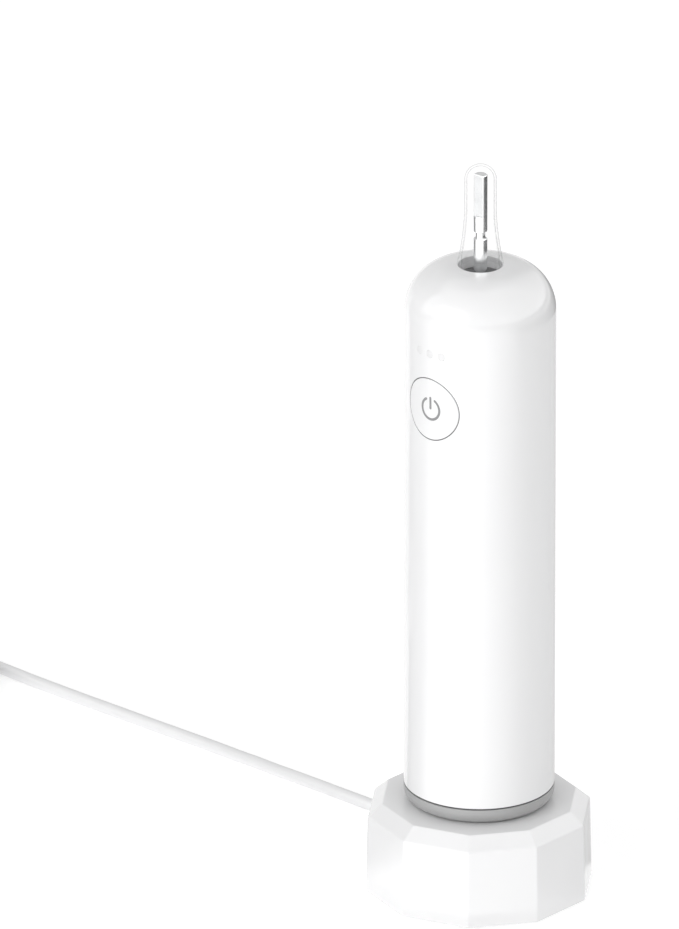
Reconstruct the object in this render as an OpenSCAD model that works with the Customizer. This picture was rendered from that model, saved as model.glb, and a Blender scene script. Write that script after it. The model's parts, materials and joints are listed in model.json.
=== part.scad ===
// Electric toothbrush handle standing on its ten-sided charging base, with a USB lead.
// Origin: centre of the base's rubber foot, on the surface that it stands on.
// +Z is up, the power button faces -Y, and the lead leaves towards -X.

/* [Handle] */
// Outside diameter of the handle
handle_d = 33; // [31:0.5:38]
// Height of the handle, from its foot to its flat top
handle_h = 126; // [123:1:145]
// Wall of the handle shell
shell_wall = 1.8; // [1.4:0.1:2.2]
// Radius of the shoulder under the flat top
shoulder_r = 10.5; // [6:0.5:10.5]
// Diameter of the recess around the drive shaft
recess_d = 9.7; // [9.2:0.1:10]
// Depth from the flat top to the rim of the shaft seal
recess_depth = 2.6; // [1.6:0.2:4]
// Length of the neck that holds the shaft seal
neck_h = 9; // [7:0.5:11]
// Wall of the neck
neck_wall = 1.4; // [1:0.1:2]

/* [End cap] */
// Height of the grey end cap
end_cap_h = 3.6; // [3.2:0.1:5]
// Radius of the end cap's lower edge
end_cap_edge_r = 2.6; // [1:0.1:2.6]
// Thickness of the dark seal between end cap and shell
seal_t = 0.3; // [0.2:0.1:0.6]
// Height of the end cap's spigot inside the shell
spigot_h = 4.5; // [3:0.5:7]
// Wall of the spigot
spigot_wall = 1.6; // [1.2:0.1:2.2]

/* [Button and lights] */
// Diameter of the power button
button_d = 13.8; // [11:0.2:14.2]
// Height of the button's centre below the flat top
button_drop = 29; // [26:0.5:36]
// Thickness of the button's cap
button_t = 1.6; // [1.2:0.1:2]
// Travel of the button
button_travel = 0.5; // [0.3:0.05:0.6]
// Visible width of the soft ring around the button
gasket_w = 0.3; // [0.2:0.05:0.6]
// Radius of the power symbol's ring
symbol_r = 2.4; // [1.6:0.1:3]
// Line width of the power symbol
symbol_line = 0.56; // [0.3:0.02:0.6]
// Depth of the power symbol's inlay
symbol_depth = 0.2; // [0.1:0.05:0.4]
// Number of indicator lights
light_count = 3; // [1:1:4]
// Diameter of an indicator light
light_d = 1.7; // [1.2:0.1:2]
// Height of the indicator lights above the button's centre
light_rise = 13; // [10.5:0.5:15]
// Angle between neighbouring indicator lights
light_angle = 10.8; // [9:0.2:13]

/* [Drive shaft] */
// Diameter of the drive shaft
shaft_d = 3; // [2.6:0.1:3.4]
// Length of the drive shaft above the flat top
shaft_out = 21; // [19:0.5:22]
// Length of the round part below the groove, above the flat top
shaft_round_h = 6; // [4:0.5:8]
// Width of the groove
groove_w = 1.8; // [1:0.1:2.4]
// Diameter at the bottom of the groove
groove_d = 2.1; // [1.8:0.1:2.4]
// Length of the flat at the tip
flat_h = 9.9; // [6:0.1:11]
// Distance from the shaft's axis to the flat
flat_offset = 0.72; // [0.4:0.02:1.1]
// Depth of the drip groove's upper edge below the flat top
drip_drop = 1.6; // [1.4:0.1:1.8]
// Width of the drip groove
drip_w = 0.8; // [0.7:0.05:0.9]
// Diameter at the bottom of the drip groove
drip_d = 2.6; // [2.2:0.1:2.8]

/* [Clear cap] */
// Height of the clear cap above the flat top
clear_cap_h = 23.3; // [22.8:0.1:26]
// Wall of the clear cap
clear_cap_wall = 0.5; // [0.4:0.05:0.8]
// Outside radius of the clear cap's foot
clear_cap_foot_r = 5.1; // [5.05:0.05:5.8]
// Outside radius of the clear cap's slim part
clear_cap_slim_r = 3.58; // [3.4:0.02:4.2]
// Height over which the foot narrows to the slim part
clear_cap_flare_h = 12; // [8:0.5:15]
// Depth of the clear cap's plug in the recess
clear_cap_plug_h = 1; // [0.6:0.1:1.4]

/* [Motor and battery] */
// Outside radius of the motor can
motor_r = 8.6; // [8.4:0.1:8.9]
// Length of the motor can
motor_h = 38; // [34:0.5:40]
// Wall of the motor can
motor_wall = 0.6; // [0.4:0.1:0.7]
// Thickness of the motor's end plates
motor_end_t = 1.6; // [1.2:0.1:2]
// Outside radius of the two shaft bearings
bearing_r = 3; // [2.6:0.1:3.4]
// Height of a shaft bearing
bearing_h = 3; // [2.4:0.1:3.6]
// Radius over the rotor's magnets
rotor_r = 4.5; // [4.2:0.1:4.6]
// Length of the rotor
rotor_h = 18; // [14:1:20]
// Gap between the rotor and the stator poles
air_gap = 0.4; // [0.3:0.05:0.5]
// Thickness of the rubber rings that hold the motor
damper_t = 0.7; // [0.5:0.1:1]
// Height of the centring spring under the motor
spring_h = 3.6; // [3:0.2:5]
// Diameter of the battery cell
battery_d = 14.2; // [13:0.1:14.5]
// Room between the inner frame and the foot of the shell's shoulder
head_room = 6.85; // [2:0.05:8]

/* [Inner frame and boards] */
// Wall of the inner frame
chassis_wall = 1.4; // [1:0.1:2]
// Thickness of the inner frame's cross walls
bulkhead_t = 3.2; // [2.8:0.1:3.4]
// Thickness of the handle's circuit board
board_t = 1; // [0.8:0.1:1.2]
// Width of the tact switch
switch_w = 4.5; // [4:0.1:6]
// Height of the tact switch above the board
switch_h = 1.6; // [1.4:0.1:1.8]

/* [Charging base] */
// Number of sides of the base
base_sides = 10; // [8:2:12]
// Width of the base across its flats, at the bottom
base_w = 48.1; // [47:0.1:54]
// Height of the base's top face above the table
base_h = 21; // [20:0.5:26]
// Inward lean of each side wall up to the chamfer
base_draft = 0.38; // [0:0.02:0.6]
// Height of the chamfer around the top face
chamfer_h = 2.8; // [1.5:0.1:3]
// Width of the chamfer, seen from above
chamfer_w = 3.1; // [1.5:0.1:3.2]
// Wall of the base's cover
cover_wall = 2; // [1.6:0.1:2.4]
// Thickness of the cover's top
cover_top_t = 2.2; // [2.1:0.1:3]
// Height of the rubber foot below the cover's lower edge
foot_proud = 0.4; // [0.2:0.1:0.8]
// Thickness of the rubber foot
foot_t = 1.4; // [1:0.1:1.8]
// Radius of the rubber foot
foot_r = 19.5; // [16:0.5:20]
// Thickness of the bottom plate above the foot
plate_t = 2; // [1.8:0.1:2.4]
// Thickness of the steel ballast plate
ballast_t = 2.2; // [1:0.1:3]

/* [Locating pad and pins] */
// Half width of the raised pad across its flats
pad_half = 10.9; // [10:0.1:11]
// Height of the raised pad
pad_h = 1; // [0.9:0.05:1.2]
// Radius of the fillet at the pad's foot
pad_fillet = 0.5; // [0.2:0.05:0.5]
// Radius of the pad's upper edge
pad_edge_r = 0.4; // [0.1:0.05:0.4]
// Exponent of the pad's outline, from 2, a circle, towards a square
pad_power = 2.9; // [2.4:0.1:3.2]
// Length of the slot around the pins
slot_l = 7.8; // [7.6:0.1:8.2]
// Width of the slot around the pins
slot_w = 3.4; // [3:0.1:4]
// Depth of the slot below the pad's top
slot_depth = 0.8; // [0.6:0.05:1]
// Number of contact pins is three; distance between neighbouring pins
pin_pitch = 2.5; // [2.4:0.05:2.6]
// Diameter of a contact pin
pin_d = 1; // [0.8:0.05:1.1]
// Height of a pin's tip above the pad
pin_proud = 0.75; // [0.6:0.05:0.9]
// Travel of a contact pin
pin_travel = 0.8; // [0.5:0.1:0.9]
// Radius of the holding magnets
magnet_r = 3; // [2:0.1:3.2]
// Thickness of the holding magnets
magnet_t = 2; // [1:0.1:2]
// Distance of the magnets' centres from the pins
magnet_offset = 6.8; // [6:0.1:7]

/* [Lead and plug] */
// Diameter of the lead
cord_d = 2.8; // [2.4:0.1:3.2]
// Height of the lead's outlet
cord_z = 9.3; // [9:0.1:10.5]
// Mean radius of the stored coil
coil_r = 16.75; // [16:0.05:16.8]
// Layers of turns in the coil
coil_layers = 2; // [1:1:3]
// Turns side by side in a layer, less one
coil_steps = 3.75; // [3:0.25:4]
// Width of the plug's grip
plug_w = 15.5; // [14:0.5:17]
// Thickness of the plug's grip
plug_t = 8; // [7:0.2:9]
// Length of the plug's grip
plug_l = 21; // [18:1:26]

/* [Hidden] */
$fn = 96;

// Clearances
fit = 0.05;             // between pieces that are fixed to each other
running = 0.05;         // radial clearance of what slides or turns
seat = 0.05;            // between pieces that rest on each other and lift off
loose = 0.3;            // room beside pieces that need none closer
over = 0.5;             // overshoot of a cutting body
solder = 0.02;          // film under parts on a board

// Handle, measured up from its foot
handle_r = handle_d / 2;
inner_r = handle_r - shell_wall;
shell_z0 = end_cap_h + seal_t;
recess_r = recess_d / 2;
neck_r = recess_r + neck_wall;
spigot_r = inner_r - fit;
spigot_top = end_cap_h + spigot_h;
button_z = handle_h - button_drop;
button_r = button_d / 2;
gasket_r = button_r + running + gasket_w;
light_z = button_z + light_rise;
light_r = light_d / 2;
shaft_r = shaft_d / 2;

// Inner frame: the motor hangs from the shoulder, and the cell fills the length below it
chassis_r = inner_r - loose;
tab_t = 0.25;
frame_z = spigot_top + fit;
battery_z = frame_z + chassis_wall + tab_t + 2 * fit;
frame_top = handle_h - shoulder_r - head_room;
upper_z = frame_top - bulkhead_t;
motor_top = upper_z - fit;
motor_z = motor_top - motor_h;
spring_z = motor_z - loose - spring_h;
middle_z = spring_z - fit - bulkhead_t;
battery_h = middle_z - 2 * fit - tab_t - battery_z;
cradle_t = 3;
cradle_inset = 2.5;
board_back = motor_r + damper_t + loose;
board_front = board_back + board_t;
board_half = sqrt(pow(inner_r - loose - fit, 2) - pow(board_front, 2));
board_z0 = frame_z + chassis_wall;
board_z1 = light_z + 3;
switch_front = board_front + solder + switch_h;
plunger_r = 0.9;
plunger_in = 0.4;
plunger_out = button_travel + 0.2;
screw_r = 0.75;
screw_head_r = 1.5;
screw_head_h = 0.9;
screw_l = 4.5;
screw_x = 5.6;
screw_zs = [middle_z + bulkhead_t / 2, upper_z + bulkhead_t / 2];

// Motor
can_inner_r = motor_r - motor_wall;
yoke_r = can_inner_r - fit;
yoke_inner_r = yoke_r - 1;
pole_r = rotor_r + air_gap;
pole_half = 2.5;
pole_h = rotor_h - 2;
wire_t = 0.8;
rotor_z = motor_z + motor_h / 2;
magnet_shell = 1.3;
rotor_core_r = rotor_r - magnet_shell;
boss_h = bearing_h - motor_end_t;
boss_r = bearing_r + fit + 1;
shaft_z0 = motor_z - boss_h - fit;
coil_wire = 0.45;
centring_r = shaft_r + loose + coil_wire;

// Charging base
function circumradius(width) = width / 2 / cos(180 / base_sides);
chamfer_z = base_h - chamfer_h;
wall_w = base_w - 2 * base_draft;
top_w = wall_w - 2 * chamfer_w;
cavity_w = wall_w - 2 * cover_wall;
cavity_z = base_h - cover_top_t;
plate_z0 = foot_proud;
foot_top = foot_t;
plate_top = foot_top + plate_t;
ballast_z = plate_top + fit;
boss_d = 5.2;
boss_ring = cavity_w / 2 - boss_d / 2 - 2;
boss_angles = [54, 126, 234, 306];
base_screw_r = 1;
base_screw_head_r = 1.9;
base_screw_head_h = 1.1;
base_screw_l = 8;
post_r = 6.5;
post_wall = 1.5;

// Pad, slot and pins
pad_sides = 72;
pad_top = base_h + pad_h;
slot_floor = pad_top - slot_depth;
tip_z = pad_top + pin_proud;
pin_r = pin_d / 2;
barrel_wall = 0.2;
barrel_r = pin_r + running + barrel_wall;
barrel_top = slot_floor + 0.2;
barrel_floor_t = 0.4;
pin_spring_h = 2.4;
pin_l = 4.6;
pin_z0 = tip_z - pin_l;
pin_spring_z = pin_z0 - pin_spring_h;
barrel_z0 = pin_spring_z - barrel_floor_t;
pin_xs = [-pin_pitch, 0, pin_pitch];
housing_flange_t = 1.2;
housing_flange = 1.4;
charger_board_t = 1.2;
charger_board_top = barrel_z0 - fit;
charger_board_z = charger_board_top - charger_board_t;
charger_board_r = 11.5;
dock_z = base_h + seat;

// End cap, measured up from the handle's foot
pocket_half = pad_half + pad_fillet + 0.4;
pocket_h = pad_h + 0.4;
plate_gap = 0.1;
contact_z = tip_z - dock_z + plate_gap;
contact_t = 0.5;
contact_r = 0.95;
post_d = 0.8;
block_l = slot_l + 0.6;
block_w = slot_w + 0.6;
block_z = contact_z + contact_t + fit;
block_top = end_cap_h + 1.6;
cap_magnet_t = 1.4;
cap_magnet_z = max(pocket_h + 0.5, end_cap_h - cap_magnet_t);
strip_w = 1;
strip_t = 0.3;
strip_z = block_top + fit;

// Lead: a hand-laid route, then a flat coil of two layers, then the plug
cord_r = cord_d / 2;
cord_sides = 8;
cord_ring_step = 6;
coil_lift = 0.6;
coil_x = -168;
coil_y = -8.5;
coil_z = coil_lift;
coil_out_r = coil_r + coil_steps * cord_d / 2 + cord_r;
coil_in_r = coil_r - coil_steps * cord_d / 2 - cord_r;
coil_h = coil_layers * cord_d;
coil_edge = 1.2;
lead_y = coil_y + coil_r + coil_steps * cord_d / 2;
cord_exit_x = fit - base_w / 2;
cord_route = [[-24, 0, 9.3], [-30, 0, 9.3], [-36, 0.4, 9.1], [-43, 1.3, 8.6], [-50, 2.9, 7.7],
    [-58, 5.1, 6.4], [-66, 7.4, 5.0], [-74, 9.7, 3.7], [-82, 11.5, 2.6], [-90, 12.8, 1.9],
    [-98, 13.4, 1.5], [-108, 13.5, 1.4], [-120, 13.5, 1.4], [-132, 13.5, 1.4], [-144, 13.5, 1.5],
    [-156, 13.5, 1.8]];
tail_route = [[-190, 13.5, 4.5], [-194, 13.5, 4.1], [-196, 13.5, 4.1]];
tie_angle = 215;
tie_w = 5;
tie_t = 0.5;
tie_gap = 0.05;
relief_l = 8;
relief_x = -196;
plug_x = relief_x - relief_l;
plug_y = 13.5;
plug_z = 4.1;
plug_shell_w = 12;
plug_shell_t = 4.5;
plug_shell_l = 12;
plug_shell_wall = 0.3;
plug_shell_in = 3;
grommet_r = 2.4;
grommet_flange_r = 3.4;
grommet_flange_t = 1.2;
grommet_in = 5;
wire_r = 0.45;

// ---------- shared shapes ----------

// Places what belongs to the handle: its foot stands on the base's top face.
module on_dock() {
    translate([0, 0, dock_z]) children();
}

// A bar of radius r along -Y at height z, from depth y0 to depth y1 in front of the axis.
module bar_y(x, z, y0, y1, r) {
    translate([x, -y0, z]) rotate([90, 0, 0]) cylinder(r = r, h = y1 - y0);
}

module tube(r_out, r_in, z0, z1) {
    translate([0, 0, z0]) difference() {
        cylinder(r = r_out, h = z1 - z0);
        translate([0, 0, -over]) cylinder(r = r_in, h = z1 - z0 + 2 * over);
    }
}

module disc(r, z0, z1) {
    translate([0, 0, z0]) cylinder(r = r, h = z1 - z0);
}

// A box given by its lowest and highest corners.
module block(low, high) {
    translate(low) cube(high - low);
}

// A prism with the base's sides, flat towards +X and -X.
module sided_prism(width, z0, z1) {
    translate([0, 0, z0]) rotate(180 / base_sides)
        cylinder(r = circumradius(width), h = z1 - z0, $fn = base_sides);
}

// The corners of the base's outline at a height.
function sided_ring(width, z) = [for (i = [0:base_sides - 1]) let (angle = (i + 0.5) * 360 / base_sides)
    [circumradius(width) * cos(angle), circumradius(width) * sin(angle), z]];

// A slot outline with round ends, its long side along X.
module stadium(length, width) {
    square([length - width, width], center = true);
    for (side = [-1, 1]) translate([side * (length - width) / 2, 0]) circle(d = width);
}

// Radius of the pad's outline at an angle: a superellipse.
function pad_reach(half, angle) =
    half / pow(pow(abs(cos(angle)), pad_power) + pow(abs(sin(angle)), pad_power), 1 / pad_power);

function pad_outline(half) = [for (i = [0:pad_sides - 1])
    let (angle = 360 * i / pad_sides, reach = pad_reach(half, angle)) [reach * cos(angle), reach * sin(angle)]];

// A closed skin over rings of equal point count, listed from the lowest to the highest.
module skin(rings) {
    count = len(rings[0]);
    last = len(rings) - 1;
    faces = concat(
        [[for (i = [0:count - 1]) i]],
        [[for (i = [count - 1:-1:0]) last * count + i]],
        [for (k = [0:last - 1]) for (i = [0:count - 1]) let (j = (i + 1) % count)
            [k * count + i, (k + 1) * count + i, (k + 1) * count + j, k * count + j]]);
    polyhedron(points = [for (ring = rings) each ring], faces = faces, convexity = 6);
}

// Profile of a body with a flat top and a rounded shoulder, for turning about Z.
module shoulder_profile(r, z0, z1, corner) {
    translate([0, z0]) square([r - corner, z1 - z0]);
    translate([0, z0]) square([r, z1 - z0 - corner]);
    intersection() {
        translate([r - corner, z1 - corner]) circle(r = corner);
        translate([0, z0]) square([r, z1 - z0]);
    }
}

// One ring of a round section across a path at point p, seen along direction d.
function across(p, d, r, sides) =
    let (side = cross([0, 0, 1], d) / norm(cross([0, 0, 1], d)), up = cross(d, side))
    [for (i = [0:sides - 1]) let (a = 360 * i / sides + 180 / sides)
        p + r * (cos(a) * side + sin(a) * up)];

function unit(v) = v / norm(v);

// A round bar swept along a list of points.
module sweep(path, r, sides) {
    last = len(path) - 1;
    skin([for (k = [last:-1:0])
        across(path[k], unit(path[min(k + 1, last)] - path[max(k - 1, 0)]), r, sides)]);
}

// A wire coil about Z: flat turns that climb from z0 to z1.
module wire_spring(r, wire, turns, z0, z1, steps) {
    climb = z1 - z0 - wire;
    sweep([for (i = [0:turns * steps]) let (a = 360 * i / steps)
        [r * cos(a), r * sin(a), z0 + wire / 2 + climb * i / (turns * steps)]], wire / 2, 6);
}

// Points on a smooth curve through the given ones, as many between each two as asked.
function curve_point(p, k, t) =
    let (last = len(p) - 1, a = p[max(k - 1, 0)], b = p[k], c = p[min(k + 1, last)], d = p[min(k + 2, last)])
    0.5 * (2 * b + (c - a) * t + (2 * a - 5 * b + 4 * c - d) * t * t + (3 * b - a - 3 * c + d) * t * t * t);

function curve_through(p, between) = concat(
    [for (k = [0:len(p) - 2]) for (i = [0:between - 1]) curve_point(p, k, i / between)],
    [p[len(p) - 1]]);

// ---------- charging base ----------

module charger_cover() {
    color("white") difference() {
        union() {
            skin([sided_ring(base_w, foot_proud), sided_ring(wall_w, chamfer_z),
                sided_ring(top_w, base_h)]);
            pad();
        }
        sided_prism(cavity_w, foot_proud - over, cavity_z);
        translate([0, 0, cavity_z - over]) linear_extrude(pad_top - cavity_z + 2 * over)
            stadium(slot_l, slot_w);
        for (side = [-1, 1]) translate([0, side * magnet_offset, 0])
            disc(magnet_r + fit, cavity_z - over, cavity_z - fit + magnet_t + fit);
        translate([-base_w / 2 - over, 0, cord_z]) rotate([0, 90, 0])
            cylinder(r = grommet_r + fit, h = base_w / 2);
    }
    color("white") difference() {
        at_bosses() disc(boss_d / 2, plate_top + fit, cavity_z + over);
        at_bosses() disc(base_screw_r + fit, plate_top + fit - over, plate_top + base_screw_l);
    }
}

// The raised rounded-square pad that locates the handle.
module pad() {
    low = [for (t = [30:30:90])
        [pad_half + pad_fillet * (1 - sin(t)), base_h + pad_fillet * (1 - cos(t))]];
    high = [for (t = [0:30:90])
        [pad_half - pad_edge_r * (1 - cos(t)), pad_top - pad_edge_r * (1 - sin(t))]];
    steps = concat([[pad_half + pad_fillet, base_h - over]], low, high);
    skin([for (s = steps) [for (p = pad_outline(s[0])) [p[0], p[1], s[1]]]]);
}

module at_bosses() {
    for (angle = boss_angles) rotate(angle) translate([boss_ring, 0, 0]) children();
}

module base_plate() {
    color("gainsboro") difference() {
        union() {
            sided_prism(cavity_w - 2 * fit, plate_z0, plate_top);
            tube(post_r, post_r - post_wall, plate_top - over, charger_board_z - fit);
        }
        disc(foot_r + fit, plate_z0 - over, foot_top + fit);
        at_bosses() disc(base_screw_head_r + fit, foot_top, foot_top + base_screw_head_h + fit);
        at_bosses() disc(base_screw_r + fit, foot_top, plate_top + over);
    }
}

module foot_pad() {
    color("dimgray") disc(foot_r, 0, foot_top);
}

module base_screws() {
    color("silver") at_bosses() {
        disc(base_screw_head_r, foot_top + fit, foot_top + base_screw_head_h);
        disc(base_screw_r, foot_top + fit, plate_top + base_screw_l - loose);
    }
}

module ballast_plate() {
    color("slategray") difference() {
        disc(cavity_w / 2 - fit, ballast_z, ballast_z + ballast_t);
        disc(post_r + loose, ballast_z - over, ballast_z + ballast_t + over);
        at_bosses() disc(boss_d / 2 + loose, ballast_z - over, ballast_z + ballast_t + over);
        translate([-base_w / 2, 0, cord_z]) rotate([0, 90, 0])
            cylinder(r = grommet_flange_r + loose, h = base_w / 4);
    }
}

module charger_board() {
    color("seagreen") disc(charger_board_r, charger_board_z, charger_board_top);
}

// A charge controller, a resistor and two capacitors.
module charger_chips() {
    z0 = charger_board_top + solder;
    color("black") {
        block([-9, -4.5, z0], [-5.4, -1.5, z0 + 1.2]);
        block([5.5, 1.5, z0], [7.5, 2.8, z0 + 0.7]);
        block([5.5, -4, z0], [8.5, -2.4, z0 + 0.9]);
        block([-8, 2, z0], [-6, 3.2, z0 + 0.7]);
    }
}

module pin_housing() {
    color("darkgray") difference() {
        union() {
            translate([0, 0, cavity_z - fit]) linear_extrude(slot_floor - cavity_z + fit)
                stadium(slot_l - 2 * fit, slot_w - 2 * fit);
            translate([0, 0, cavity_z - fit - housing_flange_t]) linear_extrude(housing_flange_t)
                stadium(slot_l + 2 * housing_flange, slot_w + 2 * housing_flange);
        }
        for (x = pin_xs) translate([x, 0, 0])
            disc(barrel_r + fit, cavity_z - housing_flange_t - over, slot_floor + over);
    }
}

module pin_barrels() {
    color("goldenrod") for (x = pin_xs) translate([x, 0, 0]) difference() {
        disc(barrel_r, barrel_z0, barrel_top);
        disc(pin_r + running, pin_spring_z, barrel_top + over);
    }
}

// Plunger with a domed tip.
module contact_pin(x) {
    color("gold") translate([x, 0, 0]) {
        disc(pin_r, pin_z0, tip_z - pin_r);
        translate([0, 0, tip_z - pin_r]) sphere(r = pin_r);
    }
}

module pin_spring(x) {
    color("silver") translate([x, 0, 0])
        wire_spring(pin_r - 0.1, 0.16, 4, pin_spring_z + solder, pin_z0 - solder, 10);
}

module base_magnets() {
    color("lightsteelblue") for (side = [-1, 1]) translate([0, side * magnet_offset, 0])
        disc(magnet_r, cavity_z - fit, cavity_z - fit + magnet_t);
}

// Moulded sleeve that holds the lead in the wall.
module cord_grommet() {
    inner_x = cavity_w / 2 - fit;
    color("whitesmoke") translate([0, 0, cord_z]) rotate([0, -90, 0]) {
        disc(grommet_r, inner_x - grommet_in, -cord_exit_x);
        disc(grommet_flange_r, inner_x - grommet_flange_t, inner_x);
    }
}

// Two wires from the grommet up to the board.
module lead_wires() {
    start_x = -(cavity_w / 2 - fit - grommet_in) + solder;
    bend_x = -charger_board_r + 2;
    rise = charger_board_z - solder - cord_z;
    color("firebrick") for (side = [-1, 1]) translate([0, side * 1.1, cord_z]) {
        translate([start_x, 0, 0]) rotate([0, 90, 0]) cylinder(r = wire_r, h = bend_x - start_x);
        translate([bend_x, 0, 0]) sphere(r = wire_r);
        translate([bend_x, 0, 0]) cylinder(r = wire_r, h = rise);
    }
}

// ---------- lead and plug ----------

// Places what lies on the lead's route, which starts in the grommet's mouth.
module on_lead() {
    translate([cord_exit_x - cord_route[0][0], 0, 0]) children();
}

module cord() {
    coil_start = [coil_x, lead_y, coil_z + cord_r];
    color("white") on_lead() {
        sweep(curve_through(concat(cord_route, [coil_start]), 2), cord_r, cord_sides);
        sweep(tail_path(), cord_r, cord_sides);
    }
}

// The last stretch, from the top of the coil to the plug.
function tail_path() = let (z = coil_z + coil_h - cord_r) concat(
    [for (x = [coil_x:-cord_ring_step:-186]) [x, lead_y, z]], tail_route);

module cord_coil() {
    low = coil_z;
    high = coil_z + coil_h;
    color("white") on_lead() translate([coil_x, coil_y, 0]) rotate_extrude() {
        translate([coil_in_r, low + coil_edge]) square([coil_out_r - coil_in_r, coil_h - 2 * coil_edge]);
        translate([coil_in_r + coil_edge, low])
            square([coil_out_r - coil_in_r - 2 * coil_edge, coil_h]);
        for (r = [coil_in_r + coil_edge, coil_out_r - coil_edge]) for (z = [low + coil_edge, high - coil_edge])
            translate([r, z]) circle(r = coil_edge);
    }
}

// Strap round the coil.
module cord_tie() {
    r0 = sqrt(pow(coil_in_r, 2) - pow(tie_w / 2, 2)) - tie_gap;
    r1 = coil_out_r + tie_gap;
    z0 = coil_z - tie_gap;
    z1 = coil_z + coil_h + tie_gap;
    color("white") on_lead() translate([coil_x, coil_y, 0]) rotate(tie_angle) difference() {
        block([r0 - tie_t, -tie_w / 2, z0 - tie_t], [r1 + tie_t, tie_w / 2, z1 + tie_t]);
        block([r0, -tie_w / 2 - over, z0], [r1, tie_w / 2 + over, z1]);
    }
}

module plug_grip() {
    color("white") on_lead() translate([0, plug_y, plug_z]) difference() {
        union() {
            translate([relief_x, 0, 0]) rotate([0, -90, 0])
                cylinder(r1 = cord_r + 0.7, r2 = cord_r + 1.6, h = relief_l + over);
            translate([plug_x, 0, 0]) rotate([0, -90, 0]) linear_extrude(plug_l)
                grip_outline();
        }
        translate([plug_x - plug_l + plug_shell_in, 0, 0]) rotate([0, -90, 0])
            linear_extrude(plug_shell_in + over)
                square([plug_shell_t + 2 * fit, plug_shell_w + 2 * fit], center = true);
    }
}

// The grip's section, with its thickness along X and round corners.
module grip_outline() {
    corner = 2;
    square([plug_t - 2 * corner, plug_w], center = true);
    square([plug_t, plug_w - 2 * corner], center = true);
    for (i = [-1, 1]) for (j = [-1, 1])
        translate([i * (plug_t / 2 - corner), j * (plug_w / 2 - corner)]) circle(r = corner);
}

module plug_shell() {
    back = plug_x - plug_l + plug_shell_in - fit;
    front = plug_x - plug_l - plug_shell_l;
    half = [plug_shell_w / 2, plug_shell_t / 2];
    hole = half - [plug_shell_wall, plug_shell_wall];
    color("silver") on_lead() translate([0, plug_y, plug_z]) difference() {
        block([front, -half[0], -half[1]], [back, half[0], half[1]]);
        block([front - over, -hole[0], -hole[1]], [back + over, hole[0], hole[1]]);
    }
}

// Plastic tongue with its four contacts.
module plug_tongue() {
    back = plug_x - plug_l + plug_shell_in - fit;
    front = plug_x - plug_l - plug_shell_l + 0.8;
    half_w = plug_shell_w / 2 - plug_shell_wall - fit;
    top = plug_shell_t / 2 - plug_shell_wall - fit;
    color("white") on_lead() translate([0, plug_y, plug_z])
        block([front, -half_w, top - 1.8], [back, half_w, top]);
}

// ---------- end cap and charging contacts ----------

module end_cap() {
    color("darkgray") on_dock() difference() {
        union() {
            rotate_extrude() {
                translate([0, end_cap_edge_r]) square([handle_r, end_cap_h - end_cap_edge_r]);
                square([handle_r - end_cap_edge_r, end_cap_h]);
                intersection() {
                    translate([handle_r - end_cap_edge_r, end_cap_edge_r]) circle(r = end_cap_edge_r);
                    square([handle_r, end_cap_h]);
                }
            }
            tube(spigot_r, spigot_r - spigot_wall, end_cap_h - over, spigot_top);
        }
        translate([0, 0, -over]) linear_extrude(pocket_h + over) polygon(pad_outline(pocket_half));
        translate([0, 0, pocket_h - over]) linear_extrude(end_cap_h + over)
            stadium(block_l, block_w);
        for (side = [-1, 1]) translate([0, side * magnet_offset, 0])
            disc(magnet_r + fit, cap_magnet_z - fit, end_cap_h + over);
    }
}

module end_cap_seal() {
    color("dimgray") on_dock()
        tube(handle_r - 0.2, spigot_r + fit, end_cap_h + solder, shell_z0 - solder);
}

// Insulator that carries the three contact plates.
module contact_block() {
    color("black") on_dock() difference() {
        translate([0, 0, block_z]) linear_extrude(block_top - block_z)
            stadium(block_l - 2 * fit, block_w - 2 * fit);
        for (x = pin_xs) translate([x, 0, 0]) disc(post_d / 2 + fit, block_z - over, block_top + over);
    }
}

module contact_plates() {
    color("gold") on_dock() for (x = pin_xs) translate([x, 0, 0]) {
        disc(contact_r, contact_z, contact_z + contact_t);
        disc(post_d / 2, contact_z, block_top);
    }
}

// Three flat strips from the plates' posts to the board.
module contact_leads() {
    color("goldenrod") on_dock() for (x = pin_xs) {
        block([x - strip_w / 2, -board_back + solder, strip_z], [x + strip_w / 2, strip_w, strip_z + strip_t]);
        block([x - strip_w / 2, -board_back + solder, strip_z],
            [x + strip_w / 2, -board_back + solder + strip_t, board_z0 + 3]);
    }
}

module handle_magnets() {
    color("lightsteelblue") on_dock() for (side = [-1, 1]) translate([0, side * magnet_offset, 0])
        disc(magnet_r, cap_magnet_z, end_cap_h - fit);
}

// ---------- handle ----------

module handle_shell() {
    color("white") on_dock() difference() {
        union() {
            rotate_extrude() difference() {
                shoulder_profile(handle_r, shell_z0, handle_h, shoulder_r);
                translate([0, -over]) shoulder_profile(inner_r, shell_z0, handle_h - shell_wall + over,
                    shoulder_r - shell_wall);
            }
            disc(neck_r, handle_h - neck_h, handle_h - shell_wall / 2);
        }
        disc(recess_r, handle_h - neck_h + 1, handle_h + over);
        disc(recess_r - 1, handle_h - neck_h - over, handle_h);
        bar_y(0, button_z, inner_r / 2, handle_r + over, gasket_r + fit);
        at_lights() bar_y(0, light_z, inner_r / 2, handle_r + over, light_r + fit);
    }
}

module at_lights() {
    for (i = [0:light_count - 1]) rotate((i - (light_count - 1) / 2) * light_angle) children();
}

// What lies in the shell's wall, a little below its outer face.
module in_wall(sunk) {
    intersection() {
        children();
        tube(handle_r - sunk, inner_r, shell_z0, handle_h);
    }
}

module button_gasket() {
    color("gray") on_dock() in_wall(0.1) difference() {
        bar_y(0, button_z, inner_r / 2, handle_r + over, gasket_r);
        bar_y(0, button_z, inner_r / 2 - over, handle_r + 2 * over, gasket_r - gasket_w);
    }
}

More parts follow.
